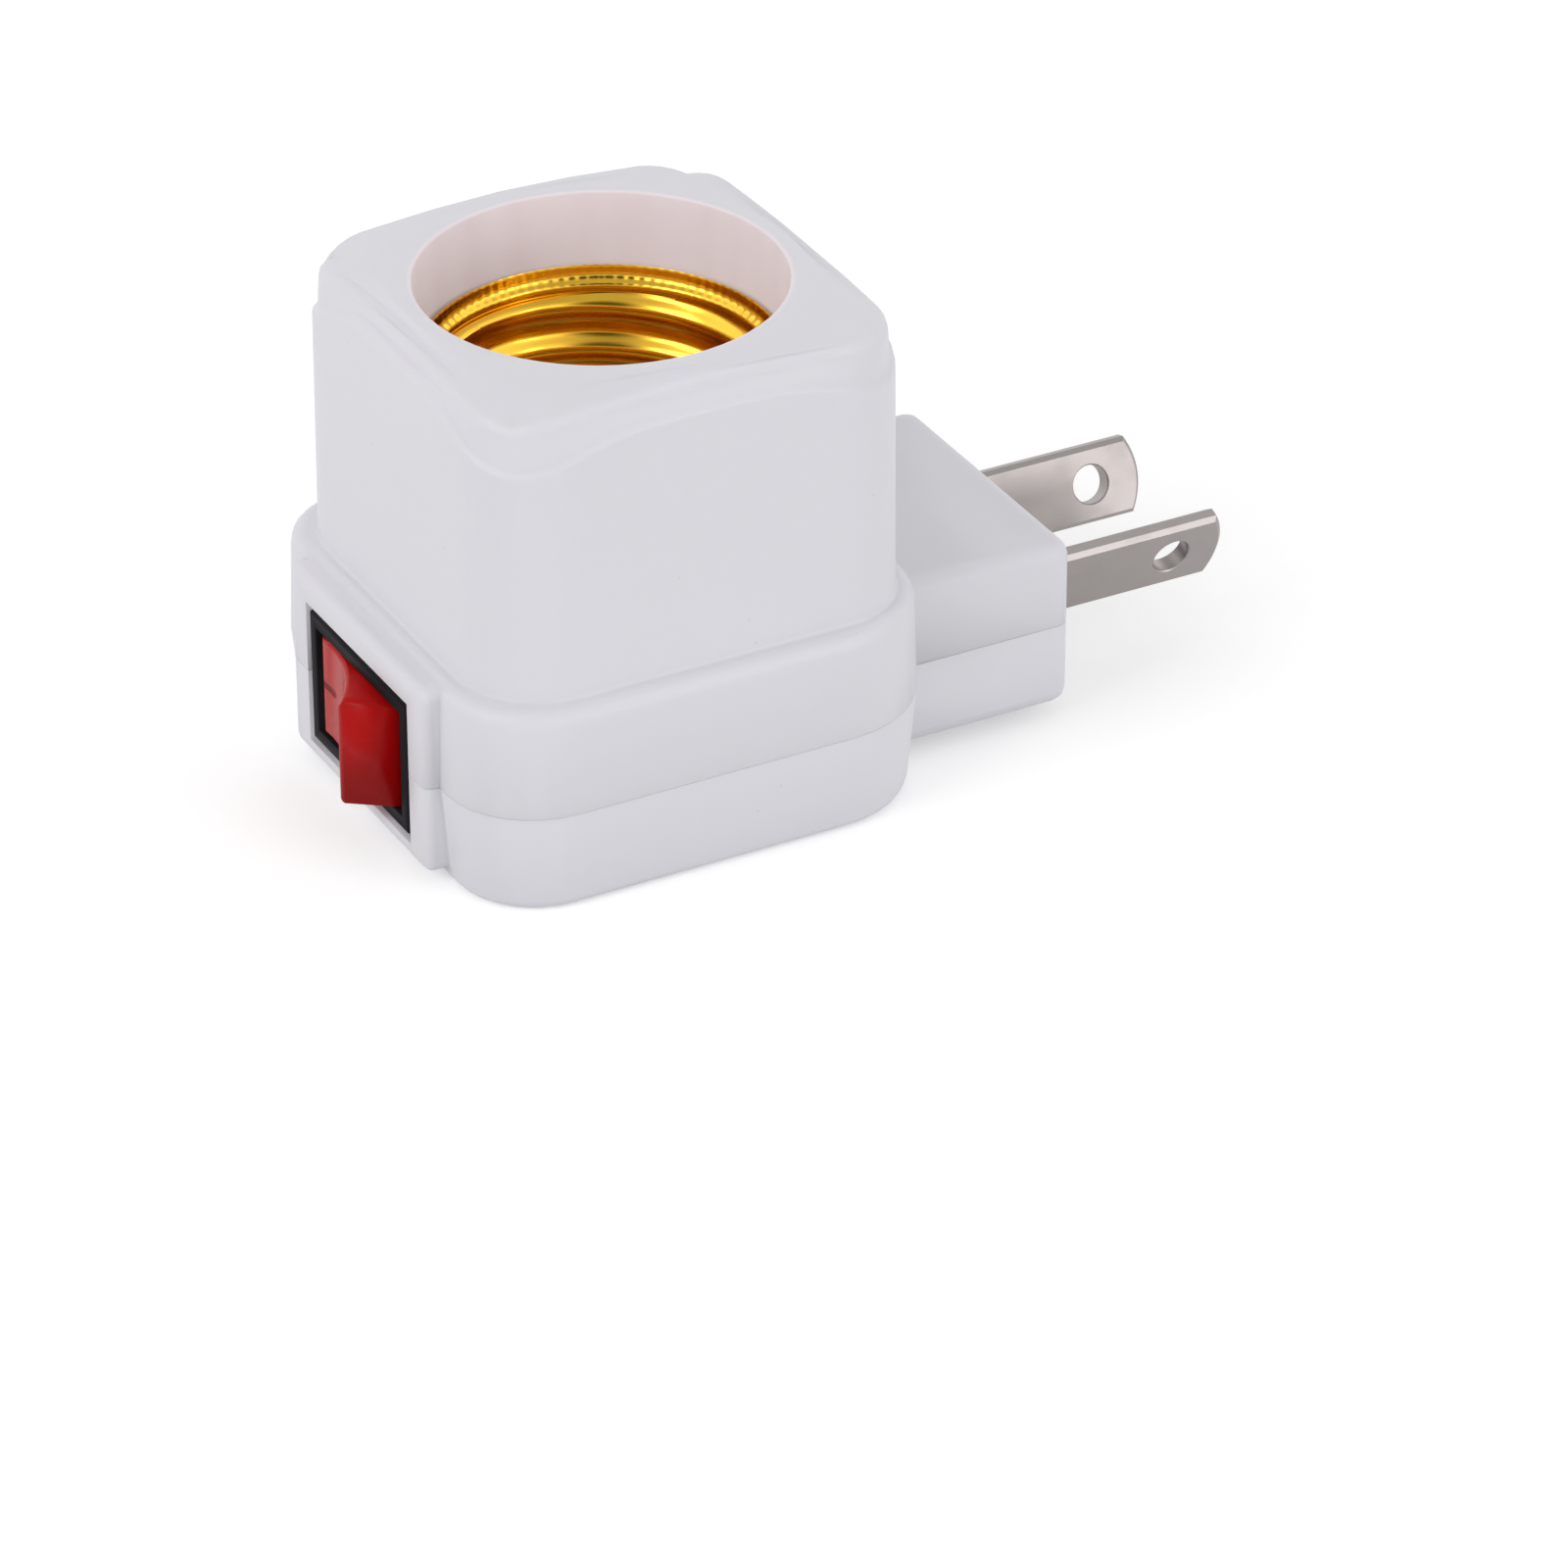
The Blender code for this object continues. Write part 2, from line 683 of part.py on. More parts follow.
def pin_sides():
    return (("near", -PIN_SPACING / 2), ("far", PIN_SPACING / 2))


def screw_places():
    """Where the three cover screws stand, and how far up each one's recess starts."""
    half = BASE_SCREW_SPACING / 2
    return (
        ("left", BASE_SCREW_X, -half, 0.0),
        ("right", BASE_SCREW_X, half, 0.0),
        ("plug", PLUG_SCREW_X, 0.0, PLUG_BACK),
    )


def rivet_places():
    """The two rivets of the screw shell and the one of the centre contact."""
    turn = math.radians(SHELL_RIVET_ANGLE)
    x = SHELL_RIVET_RADIUS * math.cos(turn)
    y = SHELL_RIVET_RADIUS * math.sin(turn)
    return (("shell_near", x, -y), ("shell_far", x, y), ("centre", CENTRE_RIVET_X, 0.0))


# The shells


def corner_pockets(tools):
    """The four hollows between the square tower wall and the round socket sleeve."""
    half = TOWER_HALF - TOWER_WALL
    corner = TOWER_CORNER - TOWER_WALL
    top = MOUTH_Z - POCKET_ROOF
    rings = [flat_ring(half, corner, BACK_DEPTH), flat_ring(half - TOWER_DRAFT, corner, top)]
    pockets = loft("corner_pockets", rings, tools)
    sleeve = cylinder(
        "sleeve_form",
        SOCKET_BORE / 2 + SLEEVE_WALL,
        (0, 0, 0),
        (0, 0, MOUTH_Z + CUT_REACH),
        tools,
        steps=2 * ROUND_STEPS,
    )
    cut(pockets, sleeve)
    return pockets


def screw_posts(tools):
    """The posts of the front shell that the three cover screws bite into."""
    posts = []
    for name, x, y, _ in screw_places():
        radius = SCREW_SHANK / 2 + SEAT_GAP + SCREW_POST_WALL
        roof = PLUG_FRONT - PLUG_WALL if name == "plug" else FLOOR_BOTTOM
        top = roof + FLOOR_THICKNESS / 2
        posts.append(cylinder("post_" + name, radius, (x, y, POST_FOOT), (x, y, top), tools, steps=20))
    return posts


def screw_pilots(tools):
    pilots = []
    for name, x, y, start in screw_places():
        top = SCREW_RECESS_DEPTH - SEAT_GAP + SCREW_LENGTH + SEAT_GAP
        radius = SCREW_SHANK / 2 + SEAT_GAP
        pilots.append(cylinder("pilot_" + name, radius, (x, y, start), (x, y, top), tools, steps=20))
    return pilots


def front_shell(parts, tools, material):
    """Tower, collar and the front halves of the plug block and the switch surround, as one moulding."""
    shell = loft(
        "front_shell",
        [
            flat_ring(TOWER_HALF / 2, TOWER_CORNER / 2, BACK_DEPTH),
            flat_ring(TOWER_HALF / 2, TOWER_CORNER / 2, COLLAR_TOP),
        ],
        parts,
        material,
    )
    join(shell, collar_form(tools), tower_form(tools))
    join(shell, plug_form("front_plug_form", tools), surround_form("front_surround_form", tools))
    cut(shell, half_space("below_seam", -PLUG_REACH, FRONT_SEAM, tools))
    cut(shell, base_hollow("front_hollow", BACK_DEPTH - CUT_REACH, FLOOR_BOTTOM, tools))
    cut(shell, plug_hollow("front_plug_hollow", tools), corner_pockets(tools))
    join(shell, *screw_posts(tools))
    cut(shell, *screw_pilots(tools))
    cut(shell, *switch_hollows("front_switch", tools), *hub_bores("front_hub", tools))
    bore = cylinder(
        "socket_bore",
        SOCKET_BORE / 2,
        (0, 0, COLLAR_TOP),
        (0, 0, MOUTH_Z + CUT_REACH),
        tools,
        steps=2 * ROUND_STEPS,
    )
    cut(shell, bore)
    for name, x, y in rivet_places():
        radius = RIVET_SHANK / 2 + SEAT_GAP
        low = (x, y, FLOOR_BOTTOM - CUT_REACH / 2)
        high = (x, y, COLLAR_TOP + CUT_REACH / 2)
        cut(shell, cylinder("rivet_hole_" + name, radius, low, high, tools, steps=16))
    return shell


def locating_lips(tools):
    """Two straight lips of the back cover that stand inside the front shell's side walls."""
    outer = BASE_HALF - SHELL_WALL - SEAT_GAP
    lips = []
    for name, side in (("near", -1), ("far", 1)):
        y_values = sorted((side * outer, side * (outer - LIP_THICKNESS)))
        root = sorted((side * (outer + SHELL_WALL / 2), side * (outer - LIP_THICKNESS)))
        low = BACK_SEAM - 2 * LIP_HEIGHT
        foot = BACK_SEAM - LIP_HEIGHT
        lips.append(
            box("lip_root_" + name, (-LIP_LENGTH / 2, root[0], low), (LIP_LENGTH / 2, root[1], foot), tools)
        )
        half = LIP_LENGTH / 2 - SEAT_GAP
        high = BACK_SEAM + LIP_HEIGHT
        lips.append(
            box("lip_" + name, (-half, y_values[0], low + LIP_HEIGHT / 2), (half, y_values[1], high), tools)
        )
    return lips


def screw_tubes(tools):
    tubes = []
    for name, x, y, start in screw_places():
        radius = SCREW_RECESS / 2 + SCREW_TUBE_WALL
        low = (x, y, start + SHELL_WALL / 2)
        high = (x, y, SCREW_RECESS_DEPTH + SCREW_SEAT)
        tubes.append(cylinder("tube_" + name, radius, low, high, tools, steps=24))
    return tubes


def screw_recesses(tools):
    recesses = []
    for name, x, y, start in screw_places():
        low = (x, y, start - CUT_REACH)
        high = (x, y, SCREW_RECESS_DEPTH)
        recesses.append(cylinder("recess_" + name, SCREW_RECESS / 2, low, high, tools, steps=24))
        radius = SCREW_SHANK / 2 + SEAT_GAP
        top = (x, y, SCREW_RECESS_DEPTH + CUT_REACH)
        recesses.append(cylinder("shank_hole_" + name, radius, low, top, tools, steps=20))
    return recesses


def contact_ribs(tools):
    """The slotted ribs of the back cover that hold the feet of the two pin contacts."""
    ribs = []
    slots = []
    middle = STUD_END - SEAT_GAP - CONTACT_STRIP / 2
    floor = PLUG_BACK + PLUG_WALL
    for side, y in pin_sides():
        half_x = CONTACT_STRIP / 2 + SEAT_GAP
        half_y = PIN_CONTACT_WIDTH / 2
        low = (middle - half_x - PLUG_WALL / 2, y - half_y, floor - PLUG_WALL / 2)
        high = (middle + half_x + PLUG_WALL / 2, y + half_y, floor + CONTACT_RIB_HEIGHT)
        ribs.append(box("rib_" + side, low, high, tools))
        reach = PIN_CONTACT_WIDTH
        low = (middle - half_x, y - reach, floor + SEAT_GAP)
        high = (middle + half_x, y + reach, floor + CONTACT_RIB_HEIGHT + CUT_REACH)
        slots.append(box("rib_slot_" + side, low, high, tools))
    return ribs, slots


def back_cover(parts, tools, material):
    """The back of the base and of the plug block, with screw recesses, lips and contact ribs."""
    cover = loft(
        "back_cover",
        [
            flat_ring(TOWER_HALF / 2, TOWER_CORNER / 2, SHELL_WALL / 2),
            flat_ring(TOWER_HALF / 2, TOWER_CORNER / 2, BACK_DEPTH),
        ],
        parts,
        material,
    )
    join(cover, back_form(tools))
    join(cover, plug_form("back_plug_form", tools), surround_form("back_surround_form", tools))
    cut(cover, half_space("above_seam", BACK_SEAM, MOUTH_Z, tools))
    cut(cover, base_hollow("back_hollow", SHELL_WALL, BACK_DEPTH + CUT_REACH, tools))
    cut(cover, plug_hollow("back_plug_hollow", tools))
    ribs, slots = contact_ribs(tools)
    join(cover, *screw_tubes(tools), *ribs, *locating_lips(tools))
    cut(cover, *screw_recesses(tools), *slots)
    cut(cover, *switch_hollows("back_switch", tools), *hub_bores("back_hub", tools))
    return cover


# The lamp socket's metal


def thread_wave(z, foot, top):
    """How far the rolled thread stands in from its crest at a height, from 0 to 1."""
    turns = (z - foot) / THREAD_PITCH
    return 0.5 - 0.5 * math.cos(turns * math.tau)


def screw_shell(parts, tools, material):
    """The brass shell that takes the lamp's cap: rolled rim, thread rings and an inward foot."""
    crest = THREAD_CREST
    rim = SOCKET_BORE / 2 - SEAT_GAP
    foot = BRASS_FOOT
    thread_foot = foot + BRASS_WALL
    thread_top = BRASS_TOP - BRASS_RIM_HEIGHT
    points_per_turn = 6
    count = max(4, round((thread_top - thread_foot) / THREAD_PITCH * points_per_turn))
    heights = [thread_foot + (thread_top - thread_foot) * i / count for i in range(count + 1)]
    wave = [(crest - THREAD_DEPTH * thread_wave(z, thread_foot, thread_top), z) for z in heights]
    hole = FLANGE_HOLE
    outer = [(rim - BRASS_WALL, BRASS_TOP), (rim, BRASS_TOP - BRASS_RIM_HEIGHT / 2)]
    outer += list(reversed(wave))
    outer += [(crest, foot), (hole, foot)]
    inner = [(hole, thread_foot)]
    inner += [(r - BRASS_WALL, z) for r, z in wave]
    inner += [(rim - 1.6 * BRASS_WALL, BRASS_TOP - BRASS_RIM_HEIGHT / 2)]
    shell = turned("screw_shell", outer + inner, "Z", parts, material, steps=ROUND_STEPS)
    for name, x, y in rivet_places():
        if name == "centre":
            continue
        radius = RIVET_SHANK / 2 + SEAT_GAP
        low = (x, y, foot - CUT_REACH / 2)
        high = (x, y, foot + BRASS_WALL + CUT_REACH / 4)
        cut(shell, cylinder("shell_hole_" + name, radius, low, high, tools, steps=16))
    return shell


def centre_contact(parts, tools, material):
    """The brass tongue at the bottom of the socket, riveted at its foot and sprung up at its nose."""
    foot_z = COLLAR_TOP + SEAT_GAP
    start = CENTRE_RIVET_X - CENTRE_CONTACT_FOOT / 2
    bend = CENTRE_RIVET_X + CENTRE_CONTACT_FOOT / 2
    nose = -bend - CENTRE_CONTACT_SLOPE
    crown = foot_z + CENTRE_CONTACT_RISE
    path = [
        (start, foot_z),
        (bend, foot_z),
        (-nose, crown - CONTACT_STRIP),
        (0.0, crown),
        (nose, crown - CONTACT_STRIP),
    ]
    outline = ribbon(path, CONTACT_STRIP)
    tongue = plate("centre_contact", outline, CENTRE_CONTACT_WIDTH, parts, material, matrix=upright())
    radius = RIVET_SHANK / 2 + SEAT_GAP
    low = (CENTRE_RIVET_X, 0, foot_z - CUT_REACH / 2)
    high = (CENTRE_RIVET_X, 0, foot_z + CUT_REACH / 2)
    cut(tongue, cylinder("contact_hole", radius, low, high, tools, steps=16))
    return tongue


def rivet(name, x, y, seat_z, parts, material):
    """A brass rivet: a head on the metal above the floor, a shank, and a clenched end under the tag."""
    head = RIVET_HEAD / 2
    shank = RIVET_SHANK / 2
    top = seat_z + SEAT_GAP
    tail = TAG_TOP - CONTACT_STRIP - SEAT_GAP
    profile = [
        (0.0, top + RIVET_HEAD_HEIGHT),
        (head * 0.7, top + RIVET_HEAD_HEIGHT),
        (head, top),
        (shank, top),
        (shank, tail),
        (head, tail),
        (head * 0.8, tail - RIVET_HEAD_HEIGHT),
        (0.0, tail - RIVET_HEAD_HEIGHT),
    ]
    obj = turned(name, profile, "Z", parts, material, steps=16)
    obj.location = (x, y, 0.0)
    return obj


def solder_tag(name, x, y, parts, material):
    """A brass tag under the floor, round its rivet, that one wire is soldered to."""
    half = TAG_WIDTH / 2
    arc = [
        (half * math.cos(a), half * math.sin(a))
        for a in [math.radians(90 + 180 * i / 8) for i in range(9)]
    ]
    end = TAG_LENGTH - half
    outline = arc + [(end, -half * 0.6), (end, half * 0.6)]
    hole = circle_points(RIVET_SHANK / 2 + SEAT_GAP, steps=12)
    place = Matrix.Translation((x, y, TAG_TOP - CONTACT_STRIP / 2))
    return plate(name, outline, CONTACT_STRIP, parts, material, holes=(hole,), matrix=place)


# The plug pins


def pin_outline():
    """A flat pin from its contact stud to its rounded tip, with X along the pin."""
    half = PIN_WIDTH / 2
    tip = PLUG_REACH + PIN_LENGTH
    stud = PIN_STUD_WIDTH / 2
    upper = [(STUD_END, stud), (HUB_BACK, stud), (HUB_BACK, half)]
    nose = []
    for i in range(5):
        turn = math.radians(90 - 18 * i)
        nose.append((tip - PIN_TIP_ROUND * (1 - math.cos(turn)), half - PIN_TIP_ROUND * (1 - math.sin(turn))))
    side = upper + nose
    return side + [(x, -z) for x, z in reversed(side)]


def pin_frame(side, y):
    frame = bpy.data.objects.new("pin_axis_" + side, None)
    frame.location = (0.0, y, PIN_AXIS_Z)
    lean = PIN_SPLAY_ANGLE if side == "near" else -PIN_SPLAY_ANGLE
    frame.rotation_euler = (math.radians(lean), 0.0, 0.0)
    return frame


def plug_pin(side, frame, parts, material):
    hole_x = PLUG_REACH + PIN_LENGTH - PIN_HOLE_INSET
    hole = circle_points(PIN_HOLE / 2, (hole_x, 0.0), steps=20)
    name = "plug_pin_" + side
    pin = plate(name, pin_outline(), PIN_THICKNESS, parts, material, holes=(hole,), matrix=upright())
    pin.parent = frame
    pin.matrix_local = upright()
    return pin


def pin_hub(side, frame, parts, tools, material):
    """The round moulding that a pin stands in: it turns in the end wall and is kept in by its flange."""
    body = HUB_DIAMETER / 2
    flange = HUB_FLANGE / 2
    step = PLUG_END_INNER - SEAT_GAP
    profile = [
        (0.0, PLUG_REACH),
        (body, PLUG_REACH),
        (body, step),
        (flange, step),
        (flange, HUB_BACK),
        (0.0, HUB_BACK),
    ]
    hub = turned("pin_hub_" + side, profile, "X", parts, material)
    hub.parent = frame
    half_y = PIN_THICKNESS / 2 + RUNNING_GAP
    half_z = PIN_WIDTH / 2 + RUNNING_GAP
    low = (HUB_BACK - CUT_REACH, -half_y, -half_z)
    high = (PLUG_REACH + CUT_REACH, half_y, half_z)
    slot = box("hub_slot_" + side, low, high, tools)
    slot.parent = frame
    cut(hub, slot)
    return hub


def pin_contact(side, y, parts, material):
    """A brass angle strip: its upright leg touches the pin's stud, its arm takes the wire."""
    face = STUD_END - SEAT_GAP
    foot = PIN_CONTACT_FOOT
    top = foot + PIN_CONTACT_HEIGHT
    path = [(face, foot), (face, top), (face - PIN_CONTACT_ARM, top)]
    outline = ribbon(path, CONTACT_STRIP)
    name = "pin_contact_" + side
    return plate(name, outline, PIN_CONTACT_WIDTH, parts, material, matrix=upright(y=y))


# The rocker switch


def switch_body(parts, tools, material):
    """The black switch case: a bezel, a box behind it with two snap barbs, open at the front."""
    half_y = SWITCH_LENGTH / 2
    half_z = SWITCH_HEIGHT / 2
    low = (BEZEL_FRONT + BEZEL_THICKNESS / 2, -half_y, SWITCH_AXIS_Z - half_z)
    high = (SWITCH_BACK, half_y, SWITCH_AXIS_Z + half_z)
    case = box("switch_body", low, high, parts, material)
    bezel_y = BEZEL_LENGTH / 2
    bezel_z = BEZEL_HEIGHT / 2
    bezel = box(
        "bezel_form",
        (BEZEL_FRONT, -bezel_y, SWITCH_AXIS_Z - bezel_z),
        (BEZEL_BACK, bezel_y, SWITCH_AXIS_Z + bezel_z),
        tools,
    )
    round_edges(bezel, ROCKER_EDGE_ROUND, 1)
    join(case, bezel)
    wall_inner = -(BASE_HALF - SHELL_WALL)
    for name, side in (("near", -1), ("far", 1)):
        start = wall_inner + SEAT_GAP
        outline = [
            (start, side * (half_y - SWITCH_WALL / 2)),
            (start, side * (half_y + BARB_REACH)),
            (start + BARB_LENGTH, side * half_y),
            (start + BARB_LENGTH, side * (half_y - SWITCH_WALL / 2)),
        ]
        place = Matrix.Translation((0.0, 0.0, SWITCH_AXIS_Z))
        join(case, plate("barb_" + name, outline, BARB_HEIGHT, tools, matrix=place))
    cavity_y = half_y - SWITCH_WALL
    cavity_z = half_z - SWITCH_WALL
    low = (BEZEL_FRONT - CUT_REACH, -cavity_y, SWITCH_AXIS_Z - cavity_z)
    high = (SWITCH_BACK - SWITCH_BACK_WALL, cavity_y, SWITCH_AXIS_Z + cavity_z)
    cut(case, box("switch_cavity", low, high, tools))
    reach = SWITCH_HEIGHT
    pin_bore = cylinder(
        "rocker_pin_bore",
        ROCKER_PIN_DIAMETER / 2 + RUNNING_GAP,
        (ROCKER_AXIS_X, 0, SWITCH_AXIS_Z - reach),
        (ROCKER_AXIS_X, 0, SWITCH_AXIS_Z + reach),
        tools,
        steps=16,
    )
    cut(case, pin_bore)
    for name, y, _ in terminal_places():
        slot_y = TERMINAL_THICKNESS / 2 + RUNNING_GAP
        slot_z = TERMINAL_WIDTH / 2 + RUNNING_GAP
        low = (SWITCH_BACK - SWITCH_BACK_WALL - SWITCH_WALL, y - slot_y, SWITCH_AXIS_Z - slot_z)
        high = (SWITCH_BACK + CUT_REACH, y + slot_y, SWITCH_AXIS_Z + slot_z)
        cut(case, box("terminal_slot_" + name, low, high, tools))
    return case


def rocker_frame(parts):
    frame = bpy.data.objects.new("rocker_axis", None)
    frame.location = (ROCKER_AXIS_X, 0.0, SWITCH_AXIS_Z)
    frame.rotation_euler = (0.0, 0.0, math.radians(-ROCKER_TILT))
    parts.objects.link(frame)
    return frame


def switch_rocker(frame, parts, tools, material):
    """The red rocker: a dished face, a stem behind, a pivot pin each side."""
    root = ROCKER_ROOT_LENGTH / 2
    crest = ROCKER_CREST_LENGTH / 2
    keel = ROCKER_KEEL_LENGTH / 2
    stem = ROCKER_STEM / 2
    dish = [(i / (DISH_STEPS / 2)) for i in range(DISH_STEPS // 2 + 1)]
    half = [(ROCKER_VALLEY * (1 - share ** 2) - ROCKER_CREST, crest * share) for share in dish]
    half += [
        (0.0, root),
        (ROCKER_KEEL_REACH, keel),
        (ROCKER_KEEL_REACH, stem),
        (ROCKER_STEM_REACH, stem),
    ]
    outline = half + [(x, -y) for x, y in reversed(half[1:])]
    rocker = plate("switch_rocker", outline, ROCKER_WIDTH, parts, material)
    rocker.parent = frame
    reach = ROCKER_WIDTH / 2 + ROCKER_PIN_LENGTH
    pins = cylinder("rocker_pins", ROCKER_PIN_DIAMETER / 2, (0, 0, -reach), (0, 0, reach), tools, steps=16)
    pins.parent = frame
    join(rocker, pins)
    bore_end = PLUNGER_TIP - PLUNGER_LENGTH - SPRING_LENGTH - 2 * SEAT_GAP
    bore = cylinder(
        "plunger_bore",
        PLUNGER_DIAMETER / 2 + SEAT_GAP,
        (bore_end, 0, 0),
        (ROCKER_STEM_REACH + CUT_REACH, 0, 0),
        tools,
        steps=16,
    )
    bore.parent = frame
    cut(rocker, bore)
    return rocker


def rocker_plunger(frame, parts, material):
    """The round-nosed pin in the rocker's stem that drives the contact lever."""
    radius = PLUNGER_DIAMETER / 2
    nose = PLUNGER_TIP - radius
    profile = [(0.0, PLUNGER_TIP)]
    for i in range(1, 4):
        turn = math.radians(30.0 * i)
        profile.append((radius * math.sin(turn), nose + radius * math.cos(turn)))
    profile += [(radius, PLUNGER_TIP - PLUNGER_LENGTH), (0.0, PLUNGER_TIP - PLUNGER_LENGTH)]
    plunger = turned("rocker_plunger", profile, "X", parts, material, steps=16)
    plunger.parent = frame
    return plunger


def rocker_spring(frame, parts, material):
    """The small coil spring behind the plunger."""
    start = PLUNGER_TIP - PLUNGER_LENGTH - SEAT_GAP - SPRING_WIRE / 2
    length = SPRING_LENGTH - SPRING_WIRE
    radius = PLUNGER_DIAMETER / 2 - SPRING_WIRE / 2
    steps = 10
    curve = bpy.data.curves.new("rocker_spring", "CURVE")
    curve.dimensions = "3D"
    curve.bevel_depth = SPRING_WIRE / 2
    curve.bevel_resolution = 0
    curve.use_fill_caps = True
    spline = curve.splines.new("POLY")
    count = SPRING_TURNS * steps + 1
    spline.points.add(count - 1)
    for i, point in enumerate(spline.points):
        turn = math.tau * i / steps
        x = start - length * i / (count - 1)
        point.co = (x, radius * math.cos(turn), radius * math.sin(turn), 1.0)
    obj = add_object("rocker_spring", curve, parts)
    spring = baked(obj)
    spring.data.materials.append(material)
    spring.parent = frame
    return spring


def lever_frame(parts):
    frame = bpy.data.objects.new("lever_axis", None)
    frame.location = (LEVER_AXIS_X, 0.0, SWITCH_AXIS_Z)
    frame.rotation_euler = (0.0, 0.0, math.radians(LEVER_TILT))
    parts.objects.link(frame)
    return frame


def contact_lever(frame, parts, material):
    """The brass see-saw in the switch, bent so that its arms stand towards the rocker."""
    arm = LEVER_LENGTH / 2
    rise = arm * math.tan(math.radians(LEVER_BEND))
    path = [(-rise, -arm), (0.0, 0.0), (-rise, arm)]
    lever = plate("contact_lever", ribbon(path, CONTACT_STRIP), LEVER_WIDTH, parts, material)
    lever.parent = frame
    return lever


def terminal_places():
    """Each terminal's place along Y, and where its inner end meets the lever."""
    lean = math.tan(math.radians(LEVER_BEND - LEVER_TILT))
    load_x = LEVER_SEAT_X - TERMINAL_SPACING * lean
    return (("common", 0.0, LEVER_SEAT_X), ("load", -TERMINAL_SPACING, load_x))


def switch_terminal(name, y, start, parts, material):
    """A flat brass blade through the back of the case. Its inner end is the lever's seat or contact."""
    low = (start, y - TERMINAL_THICKNESS / 2, SWITCH_AXIS_Z - TERMINAL_WIDTH / 2)
    high = (SWITCH_BACK + TERMINAL_REACH, y + TERMINAL_THICKNESS / 2, SWITCH_AXIS_Z + TERMINAL_WIDTH / 2)
    return box("switch_terminal_" + name, low, high, parts, material)


# Screws and wires


def cover_screw(name, x, y, parts, tools, material):
    """A pan-head self-tapping screw, head towards the back, with a cross recess."""
    seat = SCREW_RECESS_DEPTH - SEAT_GAP
    head = SCREW_HEAD / 2
    shank = SCREW_SHANK / 2
    low = seat - SCREW_HEAD_HEIGHT
    tip = seat + SCREW_LENGTH - SEAT_GAP
    profile = [
        (0.0, tip),
        (shank, tip - SCREW_POINT),
        (shank, seat),
        (head, seat),
        (head, seat - SCREW_HEAD_HEIGHT * 0.4),
        (head * 0.8, low + SCREW_HEAD_HEIGHT * 0.1),
        (head * 0.5, low),
        (0.0, low),
    ]
    screw = turned("cover_screw_" + name, profile, "Z", parts, material, steps=20)
    screw.location = (x, y, 0.0)
    for tag, long_x in (("a", True), ("b", False)):
        half = SCREW_SLOT_LENGTH / 2
        thin = SCREW_SLOT_WIDTH / 2
        size = Vector((half, thin, 0)) if long_x else Vector((thin, half, 0))
        center = Vector((x, y, low))
        slot = box(
            "slot_" + name + "_" + tag,
            center - size - Vector((0, 0, CUT_REACH)),
            center + size + Vector((0, 0, SCREW_SLOT_DEPTH)),
            tools,
        )
        cut(screw, slot)
    return screw


def smooth_route(points, spacing):
    """Evenly spaced points on a smooth curve through the given ones."""
    path = [Vector(p) for p in points]
    padded = [path[0] * 2 - path[1]] + path + [path[-1] * 2 - path[-2]]
    dense = []
    for a, b, c, d in zip(padded, padded[1:], padded[2:], padded[3:]):
        for i in range(24):
            t = i / 24
            dense.append(
                0.5
                * (
                    2 * b
                    + (c - a) * t
                    + (2 * a - 5 * b + 4 * c - d) * t * t
                    + (3 * b - a - 3 * c + d) * t * t * t
                )
            )
    dense.append(path[-1])
    lengths = [0.0]
    for a, b in zip(dense, dense[1:]):
        lengths.append(lengths[-1] + (b - a).length)
    count = max(2, round(lengths[-1] / spacing))
    route = []
    index = 0
    for i in range(count + 1):
        target = lengths[-1] * i / count
        while index + 2 < len(lengths) and lengths[index + 1] < target:
            index += 1
        span = lengths[index + 1] - lengths[index]
        share = (target - lengths[index]) / span if span else 0.0
        route.append(dense[index].lerp(dense[index + 1], min(1.0, share)))
    return route


def wire(name, points, parts, material):
    curve = bpy.data.curves.new(name, "CURVE")
    curve.dimensions = "3D"
    curve.bevel_depth = WIRE_DIAMETER / 2
    curve.bevel_resolution = 2
    curve.use_fill_caps = True
    route = smooth_route(points, WIRE_POINT_SPACING)
    spline = curve.splines.new("POLY")
    spline.points.add(len(route) - 1)
    for point, place in zip(spline.points, route):
        point.co = (*place, 1.0)
    obj = add_object(name, curve, parts)
    solid = baked(obj)
    solid.data.materials.append(material)
    return solid


